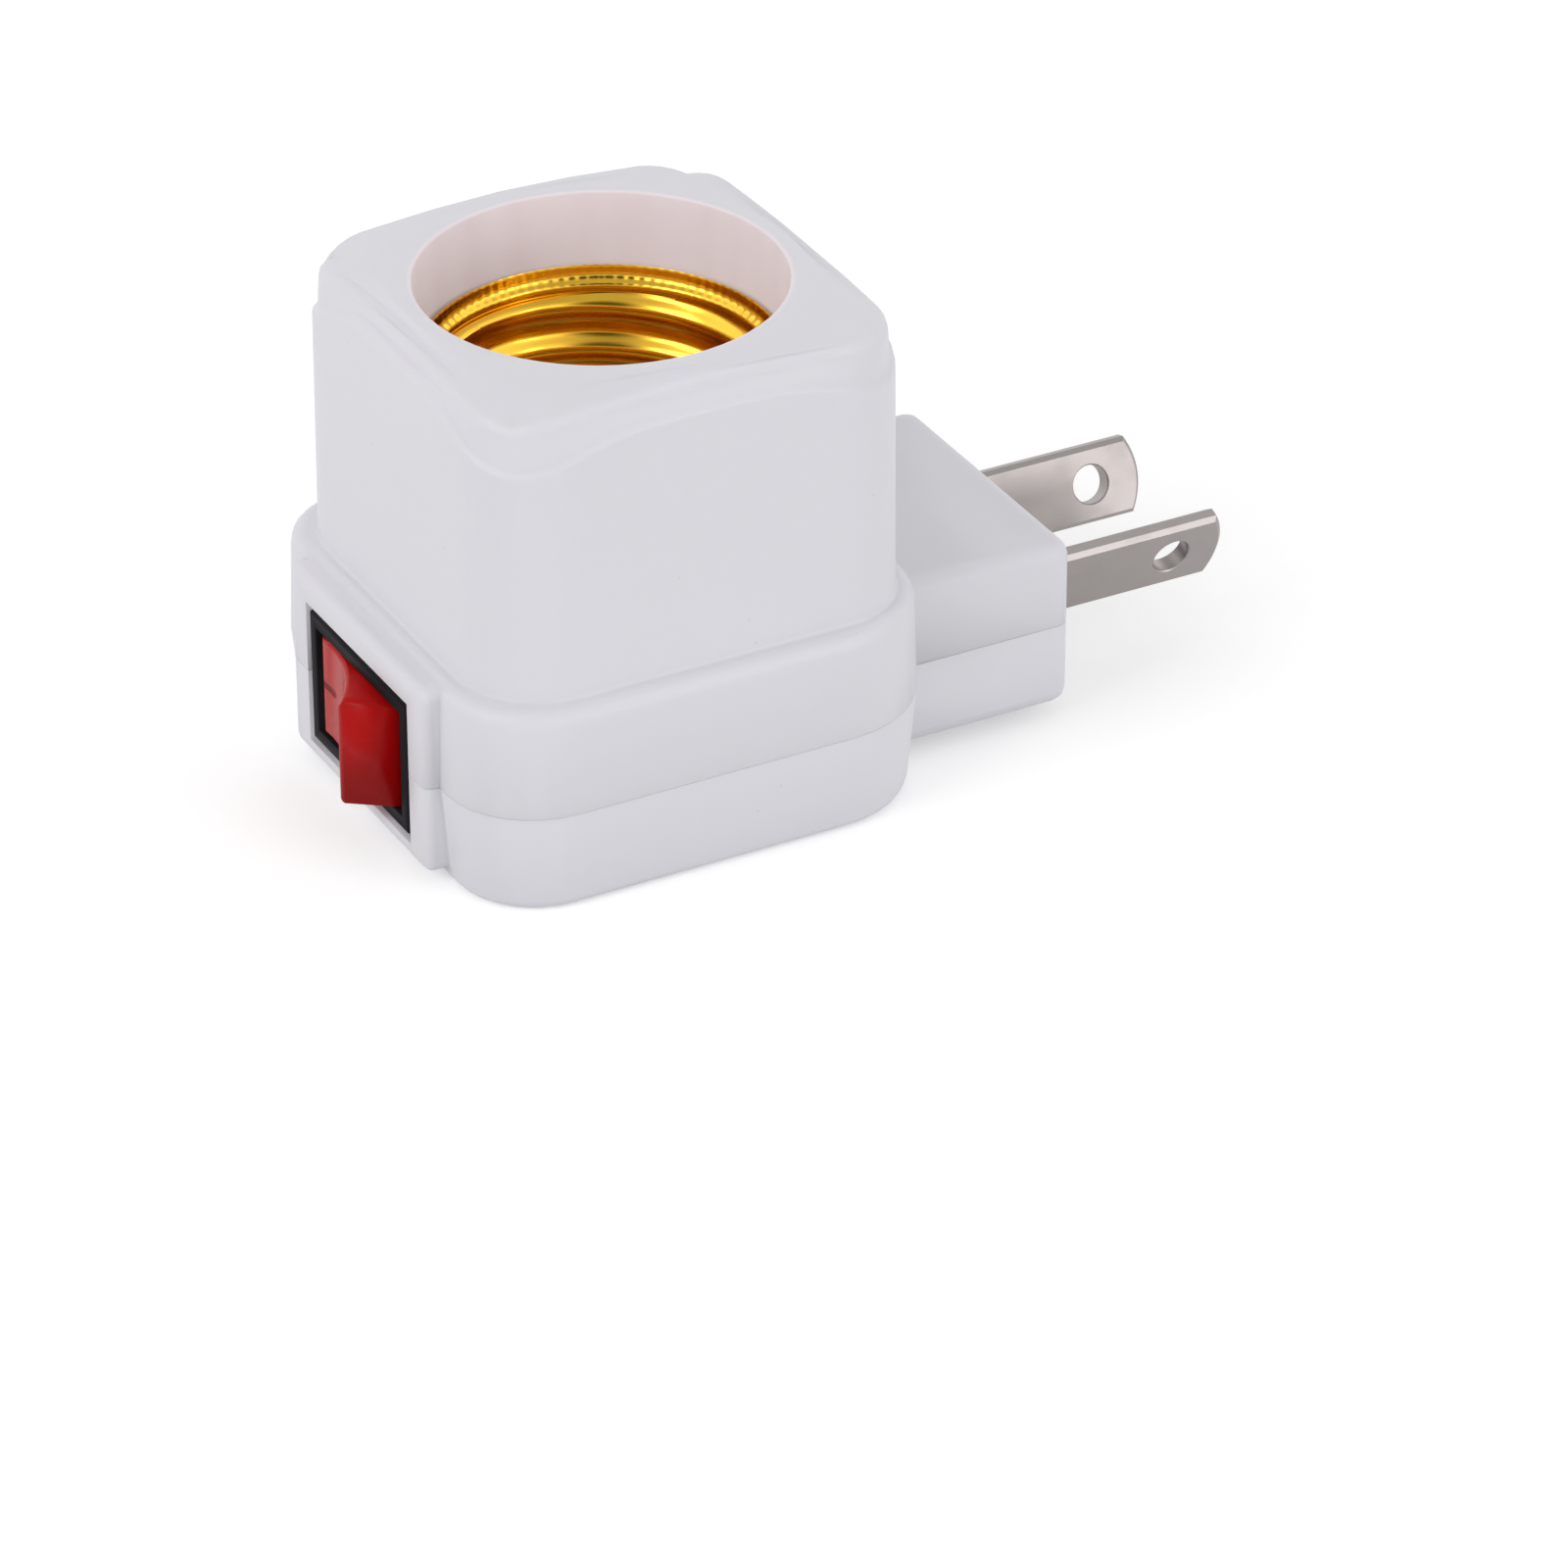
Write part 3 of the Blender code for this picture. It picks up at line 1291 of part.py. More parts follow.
def wires(parts):
    """The live, switched and neutral wires, from the pin contacts to the switch and the socket."""
    radius = WIRE_DIAMETER / 2
    arm_end = STUD_END - SEAT_GAP - PIN_CONTACT_ARM
    arm_z = PIN_CONTACT_FOOT + PIN_CONTACT_HEIGHT - CONTACT_STRIP - SEAT_GAP - radius
    near = -PIN_SPACING / 2
    far = PIN_SPACING / 2
    terminal_x = SWITCH_BACK + TERMINAL_REACH + SEAT_GAP
    tag_z = TAG_TOP - CONTACT_STRIP - SEAT_GAP - radius
    tag_end = TAG_LENGTH - TAG_WIDTH / 2
    places = {name: (x, y) for name, x, y in rivet_places()}
    shell_x, shell_y = places["shell_far"]
    live = [
        (arm_end + radius, near, arm_z),
        (arm_end - WIRE_LEAD, near - WIRE_SAG, arm_z - WIRE_SAG),
        (terminal_x + WIRE_LEAD, -TERMINAL_SPACING - WIRE_SAG, SWITCH_AXIS_Z),
        (terminal_x, -TERMINAL_SPACING, SWITCH_AXIS_Z),
    ]
    neutral = [
        (arm_end + radius, far, arm_z),
        (arm_end - radius, far, arm_z),
        ((arm_end + shell_x + tag_end) / 2, (far + shell_y) / 2, (arm_z + tag_z) / 2),
        (shell_x + tag_end - radius, shell_y, tag_z),
    ]
    switched = [
        (terminal_x, 0.0, SWITCH_AXIS_Z),
        (terminal_x + WIRE_LEAD, 0.0, SWITCH_AXIS_Z + WIRE_SAG),
        (CENTRE_RIVET_X + tag_end + WIRE_LEAD, 0.0, tag_z - 2 * radius),
        (CENTRE_RIVET_X + tag_end + radius, 0.0, tag_z),
        (CENTRE_RIVET_X + tag_end - radius, 0.0, tag_z),
    ]
    wire("wire_live", live, parts, wire_insulation("black_insulation", (0.03, 0.03, 0.03)))
    wire("wire_neutral", neutral, parts, wire_insulation("white_insulation", (0.7, 0.7, 0.68)))
    wire("wire_switched", switched, parts, wire_insulation("red_insulation", (0.5, 0.03, 0.03)))


def build():
    clear_scene()
    parts = make_collection("plug_in_lamp_holder")
    tools = make_collection("cutters")
    white = white_moulding()
    black = black_nylon()
    brass = yellow_brass()
    nickel = nickel_plate()
    steel = zinc_steel()

    front_shell(parts, tools, white)
    back_cover(parts, tools, white)

    screw_shell(parts, tools, brass)
    centre_contact(parts, tools, brass)
    for name, x, y in rivet_places():
        seat = BRASS_FOOT + (CONTACT_STRIP if name == "centre" else BRASS_WALL)
        rivet("rivet_" + name, x, y, seat, parts, brass)
    places = {name: (x, y) for name, x, y in rivet_places()}
    solder_tag("tag_centre", *places["centre"], parts, brass)
    solder_tag("tag_shell", *places["shell_far"], parts, brass)

    for side, y in pin_sides():
        frame = pin_frame(side, y)
        parts.objects.link(frame)
        plug_pin(side, frame, parts, nickel)
        pin_hub(side, frame, parts, tools, white)
        pin_contact(side, y, parts, brass)

    switch_body(parts, tools, black)
    frame = rocker_frame(parts)
    switch_rocker(frame, parts, tools, red_rocker_plastic())
    rocker_plunger(frame, parts, brass)
    rocker_spring(frame, parts, steel)
    contact_lever(lever_frame(parts), parts, brass)
    for name, y, start in terminal_places():
        switch_terminal(name, y, start, parts, brass)

    for name, x, y, _ in screw_places():
        cover_screw(name, x, y, parts, tools, steel)
    wires(parts)


build()
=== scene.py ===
import math

import bmesh
import bpy
from mathutils import Matrix, Vector


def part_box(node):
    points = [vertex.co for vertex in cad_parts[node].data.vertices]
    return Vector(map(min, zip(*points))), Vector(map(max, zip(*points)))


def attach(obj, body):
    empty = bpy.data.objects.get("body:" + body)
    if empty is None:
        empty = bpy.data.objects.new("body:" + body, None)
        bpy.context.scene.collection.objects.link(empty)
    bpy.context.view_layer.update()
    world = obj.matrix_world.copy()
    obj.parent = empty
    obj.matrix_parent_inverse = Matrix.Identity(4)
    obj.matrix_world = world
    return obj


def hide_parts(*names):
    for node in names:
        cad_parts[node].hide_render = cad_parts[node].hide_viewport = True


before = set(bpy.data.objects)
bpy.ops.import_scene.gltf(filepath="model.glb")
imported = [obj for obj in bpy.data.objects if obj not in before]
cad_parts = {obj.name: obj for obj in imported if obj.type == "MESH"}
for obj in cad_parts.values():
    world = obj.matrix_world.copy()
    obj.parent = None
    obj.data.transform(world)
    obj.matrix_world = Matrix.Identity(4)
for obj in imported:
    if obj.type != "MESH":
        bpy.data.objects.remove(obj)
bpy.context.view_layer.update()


# Back cover and front shell
# Two cool white ABS mouldings that meet at a flat seam. The mould leaves a faint satin grain and
# softly broken edges. Only the seam and the switch opening keep crisp ones.

sharp_angle, flat_angle, same_point = math.radians(38), math.radians(2), 0.000002
shell_edge = 0.00016
crisp_share = 0.2
seam = {"back_level": 0.008375, "front_level": 0.008625, "closing": 0.000115, "tolerance": 0.00002}
switch_opening = {"front": -0.0213, "half_length": 0.0092, "half_height": 0.0063, "axis_height": 0.0085}
# Painted light: where the socket's wall is painted lighter and pinker, and the colour it is painted,
# standing in for light bounced off the brass.
bore_painted_glow = {
    "inside": 0.0144, "outside": 0.0148, "floor": 0.018, "full": 0.020, "color": (0.84, 0.765, 0.80, 1),
}


def add_piece(name, mesh, body, slot, material):
    piece = bpy.data.objects.new(name, mesh)
    bpy.context.scene.collection.objects.link(piece)
    mesh.materials.clear()
    mesh.materials.append(material)
    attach(piece, body)
    return piece


def solid_copy(solid):
    """A copy of a solid whose flat faces are made whole again."""
    mesh = bpy.data.meshes.new(solid + "_copy")
    bm = bmesh.new()
    bm.from_mesh(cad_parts[solid].data)
    bmesh.ops.remove_doubles(bm, verts=bm.verts, dist=same_point)
    bmesh.ops.dissolve_limit(bm, angle_limit=flat_angle, verts=bm.verts, edges=bm.edges)
    bm.to_mesh(mesh)
    bm.free()
    mesh.shade_smooth()
    return mesh


def broken_edges(solid, name, body, slot, material, width, steps=2, mesh=None):
    """The solid's own form with its sharp edges rounded, each by its weight where it has one."""
    piece = add_piece(name, mesh or solid_copy(solid), body, slot, material)
    weighted = "bevel_weight_edge" in piece.data.attributes
    bevel = piece.modifiers.new("Broken edges", "BEVEL")
    bevel.width = width
    bevel.segments = steps
    bevel.limit_method = "WEIGHT" if weighted else "ANGLE"
    bevel.use_clamp_overlap = not weighted
    bevel.angle_limit = sharp_angle
    bevel.harden_normals = True
    bevel.miter_outer = "MITER_ARC"
    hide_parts(solid)


def weigh_edges(mesh, weight_of, move=None):
    """Gives each sharp outer edge the weight that weight_of says for its ends, then moves the ends."""
    bm = bmesh.new()
    bm.from_mesh(mesh)
    layer = bm.edges.layers.float.new("bevel_weight_edge")
    for edge in bm.edges:
        if edge.calc_face_angle(0.0) > sharp_angle and edge.is_convex:
            edge[layer] = weight_of(edge.verts[0].co, edge.verts[1].co)
    if move:
        for vert in bm.verts:
            vert.co = move(vert.co)
    bm.to_mesh(mesh)
    bm.free()
    return mesh


def closed_seam(solid, level, shift):
    """A shell's copy that meets the other shell more closely than the solids do."""
    def at_seam(place):
        return abs(place.z - level) < seam["tolerance"]

    def at_switch(place):
        return (
            place.x < switch_opening["front"]
            and abs(place.y) < switch_opening["half_length"]
            and abs(place.z - switch_opening["axis_height"]) < switch_opening["half_height"]
        )

    def weight_of(first, second):
        crisp = (at_seam(first) and at_seam(second)) or (at_switch(first) and at_switch(second))
        return crisp_share if crisp else 1.0

    def move(place):
        return place + Vector((0, 0, shift)) if at_seam(place) else place

    return weigh_edges(solid_copy(solid), weight_of, move)


def put(tree, socket, source):
    """Sets a plain value on a socket, or links it to another node's output."""
    if isinstance(source, bpy.types.NodeSocket):
        tree.links.new(source, socket)
    else:
        socket.default_value = source


def add_node(tree, kind, settings=(), inputs=()):
    made = tree.nodes.new(kind)
    for label, value in dict(settings).items():
        setattr(made, label, value)
    for label, source in dict(inputs).items():
        put(tree, made.inputs[label], source)
    return made


def maths(tree, operation, *terms):
    return add_node(tree, "ShaderNodeMath", {"operation": operation}, enumerate(terms)).outputs[0]


def vector_maths(tree, operation, *terms):
    return add_node(tree, "ShaderNodeVectorMath", {"operation": operation}, enumerate(terms)).outputs


def remap(tree, value, start, end, first=0.0, last=1.0):
    """Turns start to end into first to last, and holds what lies beyond."""
    inputs = {"Value": value, "From Min": start, "From Max": end, "To Min": first, "To Max": last}
    return add_node(tree, "ShaderNodeMapRange", (), inputs).outputs[0]


def blend(tree, share, first, second):
    """A mix of two colours. The Mix node's colour sockets are numbers 6 and 7 in, and 2 out."""
    made = add_node(tree, "ShaderNodeMix", {"data_type": "RGBA"}, {0: share, 6: first, 7: second})
    return made.outputs[2]


def noise(tree, place, scale, detail):
    inputs = {"Vector": place, "Scale": scale, "Detail": detail}
    return add_node(tree, "ShaderNodeTexNoise", (), inputs).outputs["Fac"]


def object_space(tree):
    return add_node(tree, "ShaderNodeTexCoord").outputs["Object"]


def height_of(tree, place):
    return add_node(tree, "ShaderNodeSeparateXYZ", (), {0: place}).outputs["Z"]


def new_group(name, inputs, outputs):
    """An empty node group. Inputs are (name, type, default) and outputs are (name, type)."""
    group = bpy.data.node_groups.new(name, "ShaderNodeTree")
    for label, kind, value in inputs:
        socket = group.interface.new_socket(label, in_out="INPUT", socket_type=kind)
        socket.default_value = value
    for label, kind in outputs:
        group.interface.new_socket(label, in_out="OUTPUT", socket_type=kind)
    start = group.nodes.new("NodeGroupInput")
    end = group.nodes.new("NodeGroupOutput")
    return group, start.outputs, end.inputs


def use_group(tree, group, inputs):
    made = tree.nodes.new("ShaderNodeGroup")
    made.node_tree = group
    for label, value in inputs.items():
        made.inputs[label].default_value = value
    return made.outputs


def bump(tree, height, strength, distance, under=None):
    inputs = {"Height": height, "Strength": strength, "Distance": distance}
    if under:
        inputs["Normal"] = under
    return add_node(tree, "ShaderNodeBump", (), inputs).outputs[0]


surface_outputs = [
    ("Color", "NodeSocketColor"), ("Roughness", "NodeSocketFloat"), ("Height", "NodeSocketFloat"),
]


def moulded_grain_group():
    """Satin grain of a steel mould, slow changes of shade, and a few specks of dust."""
    group, given, result = new_group(
        "Moulded grain",
        [
            ("Color", "NodeSocketColor", (0.8, 0.8, 0.8, 1)),
            ("Shade change", "NodeSocketFloat", 0.03),
            ("Grain size", "NodeSocketFloat", 4000.0),
            ("Speck amount", "NodeSocketFloat", 0.2),
            ("Roughness", "NodeSocketFloat", 0.35),
            ("Roughness change", "NodeSocketFloat", 0.06),
        ],
        surface_outputs,
    )
    cloud_scale, dust_scale, gap_scale = 90.0, 420.0, 150.0
    dust_radius, dust_gap, dust_color = (0.035, 0.055), (0.60, 0.64), (0.30, 0.27, 0.24, 1)
    place = object_space(group)
    swing = maths(group, "SUBTRACT", noise(group, place, cloud_scale, 3.0), 0.5)
    level = maths(group, "ADD", maths(group, "MULTIPLY", swing, given["Shade change"]), 1.0)
    shade = {"operation": "SCALE"}
    shaded = add_node(group, "ShaderNodeVectorMath", shade, {0: given["Color"], "Scale": level}).outputs[0]
    cells = add_node(group, "ShaderNodeTexVoronoi", (), {"Vector": place, "Scale": dust_scale})
    spot = remap(group, cells.outputs["Distance"], *dust_radius, 1.0, 0.0)
    chosen = remap(group, noise(group, place, gap_scale, 0.0), *dust_gap)
    specks = maths(group, "MULTIPLY", maths(group, "MULTIPLY", spot, chosen), given["Speck amount"])
    rough = maths(group, "MULTIPLY_ADD", swing, given["Roughness change"], given["Roughness"])
    grain = maths(group, "SUBTRACT", noise(group, place, given["Grain size"], 2.0), 0.5)
    put(group, result["Color"], blend(group, specks, shaded, dust_color))
    put(group, result["Roughness"], rough)
    put(group, result["Height"], grain)
    return group


moulded_grain = moulded_grain_group()


def surfaced(name, group, color, roughness, metallic, settings, relief, strength):
    """A material whose colour, roughness and fine relief come out of a node group."""
    material = bpy.data.materials.new(name)
    material.use_nodes = True
    tree = material.node_tree
    shader = tree.nodes["Principled BSDF"]
    shader.inputs["Metallic"].default_value = metallic
    made = use_group(tree, group, {"Color": (*color, 1), "Roughness": roughness, **settings})
    put(tree, shader.inputs["Base Color"], made["Color"])
    put(tree, shader.inputs["Roughness"], made["Roughness"])
    put(tree, shader.inputs["Normal"], bump(tree, made["Height"], strength, relief))
    return material, tree, shader


def moulded(name, color, roughness, settings, relief=0.00002, strength=0.25):
    return surfaced(name, moulded_grain, color, roughness, 0.0, settings, relief, strength)


white_moulding, white_tree, white_shader = moulded(
    "white moulding", color=(0.715, 0.708, 0.752), roughness=0.38, settings={"Shade change": 0.02},
)
white_shader.inputs["Specular IOR Level"].default_value = 0.2
white_shader.inputs["Subsurface Weight"].default_value = 0.15
white_shader.inputs["Subsurface Radius"].default_value = (1.0, 0.7, 0.7)
white_shader.inputs["Subsurface Scale"].default_value = 0.002


def paint_bore_glow(tree, shader):
    """Painted light: the socket's wall is painted a little lighter and pinker than the outside, standing
    in for light bounced off the brass.
    """
    place = object_space(tree)
    from_axis = vector_maths(tree, "MULTIPLY", place, (1.0, 1.0, 0.0))[0]
    reach = vector_maths(tree, "LENGTH", from_axis)["Value"]
    inside = remap(tree, reach, bore_painted_glow["inside"], bore_painted_glow["outside"], 1.0, 0.0)
    above = remap(tree, height_of(tree, place), bore_painted_glow["floor"], bore_painted_glow["full"])
    share = maths(tree, "MULTIPLY", inside, above)
    color = shader.inputs["Base Color"]
    put(tree, color, blend(tree, share, color.links[0].from_socket, bore_painted_glow["color"]))


paint_bore_glow(white_tree, white_shader)

for solid, level, shift in (
    ("back_cover", seam["back_level"], seam["closing"]),
    ("front_shell", seam["front_level"], -seam["closing"]),
):
    broken_edges(
        solid, solid + "_moulding", "housing", "white_moulding", white_moulding, shell_edge,
        mesh=closed_seam(solid, level, shift),
    )


# Screw shell
# The lamp's cap screws into this drawn brass shell: a right-hand rolled thread, a rolled rim with
# fine beads pressed into it, and an inward flange at the foot that two rivets hold down.

brass = {
    "rim_top": 0.0356, "rim_outside": 0.01405, "foot": 0.0176, "hole": 0.00935, "wall": 0.0004,
    "flange_round": 0.0003, "beads": 100, "bead_rise": 0.000028, "around": 500, "crease": 60.0,
}
thread = {
    "top": 0.0335, "top_fade": 0.0003, "foot_gap": 0.0006, "foot_fade": 0.0016, "foot_round": 0.0002,
    "root": 0.01318, "depth": 0.00085, "pitch": 0.0036, "first_turn": 0.52,
    "rise_start": 0.06, "crest": 0.5, "fall": 0.34,
}
rim_roll = ((0.0, 0.0012), (0.0, 0.0005), (0.00012, 0.0002), (0.00024, 0.00003), (0.00030, 0.0))
rim_and_ledge = (
    (0.01371, 0.03552, 0.3), (0.01368, 0.03535, 0.4), (0.01365, 0.03518, 0.4), (0.01361, 0.03500, 0.4),
    (0.01357, 0.03483, 0.5), (0.01351, 0.03468, 0.8), (0.01341, 0.03454, 1.0), (0.01328, 0.03443, 1.0),
    (0.01313, 0.03434, 0.7), (0.01303, 0.03422, 0.3), (0.01299, 0.03405, 0.0), (0.01299, 0.03385, 0.0),
    (0.01302, 0.03366, 0.0),
)


def rolled_metal_group():
    """Fine lines left round a rolled or drawn sheet, with stains that gather slowly."""
    group, given, result = new_group(
        "Rolled metal",
        [
            ("Color", "NodeSocketColor", (0.8, 0.6, 0.3, 1)),
            ("Stain color", "NodeSocketColor", (0.4, 0.2, 0.1, 1)),
            ("Stain amount", "NodeSocketFloat", 0.3),
            ("Stain size", "NodeSocketFloat", 300.0),
            ("Line stretch", "NodeSocketVector", (60.0, 60.0, 4000.0)),
            ("Roughness", "NodeSocketFloat", 0.2),
            ("Roughness change", "NodeSocketFloat", 0.1),
        ],
        surface_outputs,
    )
    stain_edge, stain_dulling = (0.48, 0.72), 0.25
    place = object_space(group)
    stretched = vector_maths(group, "MULTIPLY", place, given["Line stretch"])[0]
    swing = maths(group, "SUBTRACT", noise(group, stretched, 1.0, 3.0), 0.5)
    patches = remap(group, noise(group, place, given["Stain size"], 4.0), *stain_edge)
    stain = maths(group, "MULTIPLY", patches, given["Stain amount"])
    rough = maths(group, "MULTIPLY_ADD", swing, given["Roughness change"], given["Roughness"])
    put(group, result["Color"], blend(group, stain, given["Color"], given["Stain color"]))
    put(group, result["Roughness"], maths(group, "MULTIPLY_ADD", stain, stain_dulling, rough))
    put(group, result["Height"], swing)
    return group


rolled_metal = rolled_metal_group()


def bare_metal(name, color, roughness, settings, relief=0.000006, strength=0.3):
    return surfaced(name, rolled_metal, color, roughness, 1.0, settings, relief, strength)[0]


brass_finish = bare_metal(
    "drawn brass", color=(0.84, 0.495, 0.05), roughness=0.16,
    settings={"Stain color": (0.66, 0.31, 0.04, 1), "Stain amount": 0.25, "Stain size": 260.0},
)


def smooth_step(value):
    value = min(1.0, max(0.0, value))
    return value * value * (3 - 2 * value)


def thread_radius(turn, z):
    """The inside of the rolled thread. It winds up anticlockwise, as a right-hand thread does."""
    phase = (z - brass["foot"]) / thread["pitch"] - turn / math.tau + thread["first_turn"]
    phase -= math.floor(phase)
    if phase < thread["crest"]:
        wave = smooth_step((phase - thread["rise_start"]) / (thread["crest"] - thread["rise_start"]))
    else:
        wave = 1 - smooth_step((phase - thread["crest"]) / thread["fall"])
    top_share = smooth_step((thread["top"] - z) / thread["top_fade"])
    foot_share = smooth_step((z - brass["foot"] - thread["foot_gap"]) / thread["foot_fade"])
    return thread["root"] - thread["depth"] * wave * top_share * foot_share


def screw_shell_mesh():
    """A lathed sheet whose radius also changes with the turn: thread, beaded rim and flange."""
    around = brass["around"]
    thread_rows = 76
    outer_step = 3
    rows = []

    def plain(radius, z, bead=0.0):
        rise = brass["bead_rise"] * bead
        rows.append(lambda turn: (radius - rise * math.cos(turn * brass["beads"]), z))

    for inward, down in rim_roll:
        plain(brass["rim_outside"] - inward, brass["rim_top"] - down)
    for radius, z, bead in rim_and_ledge:
        plain(radius, z, bead)
    inner_foot = brass["foot"] + brass["wall"]
    drop = inner_foot + thread["foot_round"] - thread["top"]
    levels = [thread["top"] + drop * step / thread_rows for step in range(thread_rows + 1)]
    for z in levels:
        rows.append(lambda turn, z=z: (thread_radius(turn, z), z))
    plain(thread["root"] - brass["flange_round"], inner_foot)
    plain(brass["hole"], inner_foot)
    plain(brass["hole"], brass["foot"])
    plain(thread["root"] + brass["wall"] - brass["flange_round"], brass["foot"])
    for z in reversed(levels[::outer_step]):
        rows.append(lambda turn, z=z: (thread_radius(turn, z) + brass["wall"], z))

    bm = bmesh.new()
    rings = []
    for row in rows:
        ring = []
        for i in range(around):
            turn = math.tau * i / around
            radius, z = row(turn)
            ring.append(bm.verts.new((radius * math.cos(turn), radius * math.sin(turn), z)))
        rings.append(ring)
    for upper, lower in zip(rings, rings[1:] + rings[:1]):
        for i in range(around):
            j = (i + 1) % around
            bm.faces.new((upper[i], upper[j], lower[j], lower[i]))
    bmesh.ops.recalc_face_normals(bm, faces=bm.faces)
    mesh = bpy.data.meshes.new("screw_shell")
    bm.to_mesh(mesh)
    bm.free()
    mesh.shade_smooth()
    mesh.set_sharp_from_angle(angle=math.radians(brass["crease"]))
    return mesh


screw_shell = add_piece("screw_shell_thread", screw_shell_mesh(), "housing", "yellow_brass", brass_finish)
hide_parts("screw_shell")


# Centre contact, rivets and solder tags
# Stamped brass strip, held through the socket's floor by turned brass rivets whose tails also
# clench the solder tags under it. Stamping leaves slightly rounded edges.

strip_edge = 0.00008
rivet_edge = 0.00012
for solid in ("centre_contact", "tag_centre", "tag_shell", "pin_contact_near", "pin_contact_far"):
    broken_edges(solid, solid + "_strip", "housing", "yellow_brass", brass_finish, strip_edge)
for solid in ("rivet_centre", "rivet_shell_near", "rivet_shell_far"):
    broken_edges(solid, solid + "_head", "housing", "yellow_brass", brass_finish, rivet_edge)


# Plug pins
# Flat pins stamped from brass strip, chamfered all round, and plated with satin nickel. The tip is a
# shallow arc. Each stands in its hub, turned 18 degrees from upright, and its stud reaches the contact.

pin = {
    "turn": 18.0, "side": 0.00635, "height": 0.0085, "half_width": 0.003175, "thickness": 0.0015,
    "stud": 0.0012, "hub_back": 0.03035, "shoulder": 0.05072, "arc": 0.00090, "arc_steps": 8,
    "chamfer": 0.00036, "hole": 0.0016, "hole_steps": 40, "hole_inset": 0.0046, "hole_chamfer": 0.0001,
    "crease": 28.0,
}

nickel_finish = bare_metal(
    "satin nickel plate", color=(0.35, 0.32, 0.312), roughness=0.40,
    settings={
        "Stain color": (0.27, 0.24, 0.22, 1), "Stain amount": 0.15, "Stain size": 420.0,
        "Line stretch": (90.0, 2600.0, 2600.0), "Roughness change": 0.04,
    },
    relief=0.000003,
)


def pin_mesh(side):
    low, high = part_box("plug_pin_" + side)
    half = pin["half_width"]
    hole_x = high[0] - pin["hole_inset"]

    def outline():
        points = [(low[0], pin["stud"]), (pin["hub_back"], pin["stud"]), (pin["hub_back"], half)]
        for i in range(pin["arc_steps"] + 1):
            share = 1 - i / pin["arc_steps"]
            points.append((pin["shoulder"] + pin["arc"] * (1 - share ** 2), half * share))
        return points + [(x, -z) for x, z in reversed(points[:-1])]

    def hole():
        turns = [math.tau * i / pin["hole_steps"] for i in range(pin["hole_steps"])]
        return [(hole_x + pin["hole"] * math.cos(turn), pin["hole"] * math.sin(turn)) for turn in turns]

    bm = bmesh.new()
    edges = []
    for loop in (outline(), hole()):
        ring = [bm.verts.new((x, -pin["thickness"] / 2, z)) for x, z in loop]
        edges += [bm.edges.new((ring[i - 1], ring[i])) for i in range(len(ring))]
    filled = bmesh.ops.triangle_fill(bm, edges=edges, use_beauty=True, use_dissolve=True)
    faces = [item for item in filled["geom"] if isinstance(item, bmesh.types.BMFace)]
    raised = bmesh.ops.extrude_face_region(bm, geom=faces)
    verts = [item for item in raised["geom"] if isinstance(item, bmesh.types.BMVert)]
    bmesh.ops.translate(bm, verts=verts, vec=(0, pin["thickness"], 0))
    bmesh.ops.recalc_face_normals(bm, faces=bm.faces)

    def rims(of_hole):
        """The sharp edges of both flat faces that go round the hole, or else round the outline."""
        found = []
        for edge in bm.edges:
            across = abs(edge.verts[0].co.y - edge.verts[1].co.y) > 0.0001
            away = max((vert.co - Vector((hole_x, vert.co.y, 0))).length for vert in edge.verts)
            if not across and edge.calc_face_angle(0.0) > sharp_angle:
                if (away < pin["hole"] * 1.1) == of_hole:
                    found.append(edge)
        return found

    def chamfer(of_hole, width):
        bmesh.ops.bevel(
            bm, geom=rims(of_hole), offset=width, segments=1, affect="EDGES", clamp_overlap=False,
        )

    chamfer(False, pin["chamfer"])
    chamfer(True, pin["hole_chamfer"])
    sign = 1 if side == "near" else -1
    place = Matrix.Translation((0, -sign * pin["side"], pin["height"]))
    bm.transform(place @ Matrix.Rotation(math.radians(sign * pin["turn"]), 4, "X"))
    mesh = bpy.data.meshes.new("plug_pin_" + side)
    bm.to_mesh(mesh)
    bm.free()
    mesh.shade_smooth()
    mesh.set_sharp_from_angle(angle=math.radians(pin["crease"]))
    return mesh


for side in ("near", "far"):
    solid = "plug_pin_" + side
    plated = add_piece(solid + "_plated", pin_mesh(side), "pin_" + side, "nickel_plate", nickel_finish)
    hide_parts(solid)


# Pin hubs
# Round white mouldings that carry the pins through the end of the plug block and turn with them.
# They are a shade lighter and duller than the shells, and gather more dust.

hub_edge = 0.00015
hub_moulding = moulded(
    "hub moulding", color=(0.74, 0.74, 0.765), roughness=0.42,
    settings={"Shade change": 0.05, "Speck amount": 0.4},
)[0]
for side in ("near", "far"):
    solid = "pin_hub_" + side
    broken_edges(solid, solid + "_moulding", "pin_" + side, "white_moulding", hub_moulding, hub_edge)


# Switch body
# A black nylon case that snaps into the opening. Its bezel shows round the rocker, fills the
# opening and stands nearly level with the surround.

case_edge = 0.00008
bezel = {
    "front": -0.02110, "back": -0.0195, "half_length": 0.00855, "half_height": 0.00580,
    "widening": 0.00014, "lift": 0.00025,
}

black_nylon, _, black_shader = moulded(
    "black nylon", color=(0.012, 0.011, 0.013), roughness=0.55,
    settings={"Shade change": 0.3, "Speck amount": 0.15, "Roughness change": 0.15},
    relief=0.00003, strength=0.4,
)
black_shader.inputs["Specular IOR Level"].default_value = 0.05


def snug_bezel(place):
    """Widens the bezel's rim all round and brings its front forward."""
    y, z = place.y, place.z - switch_opening["axis_height"]
    if place.x < bezel["back"]:
        if abs(y) > bezel["half_length"]:
            y += math.copysign(bezel["widening"], y)
        if abs(z) > bezel["half_height"]:
            z += math.copysign(bezel["widening"], z)
    x = place.x - bezel["lift"] if place.x < bezel["front"] else place.x
    return Vector((x, y, z + switch_opening["axis_height"]))


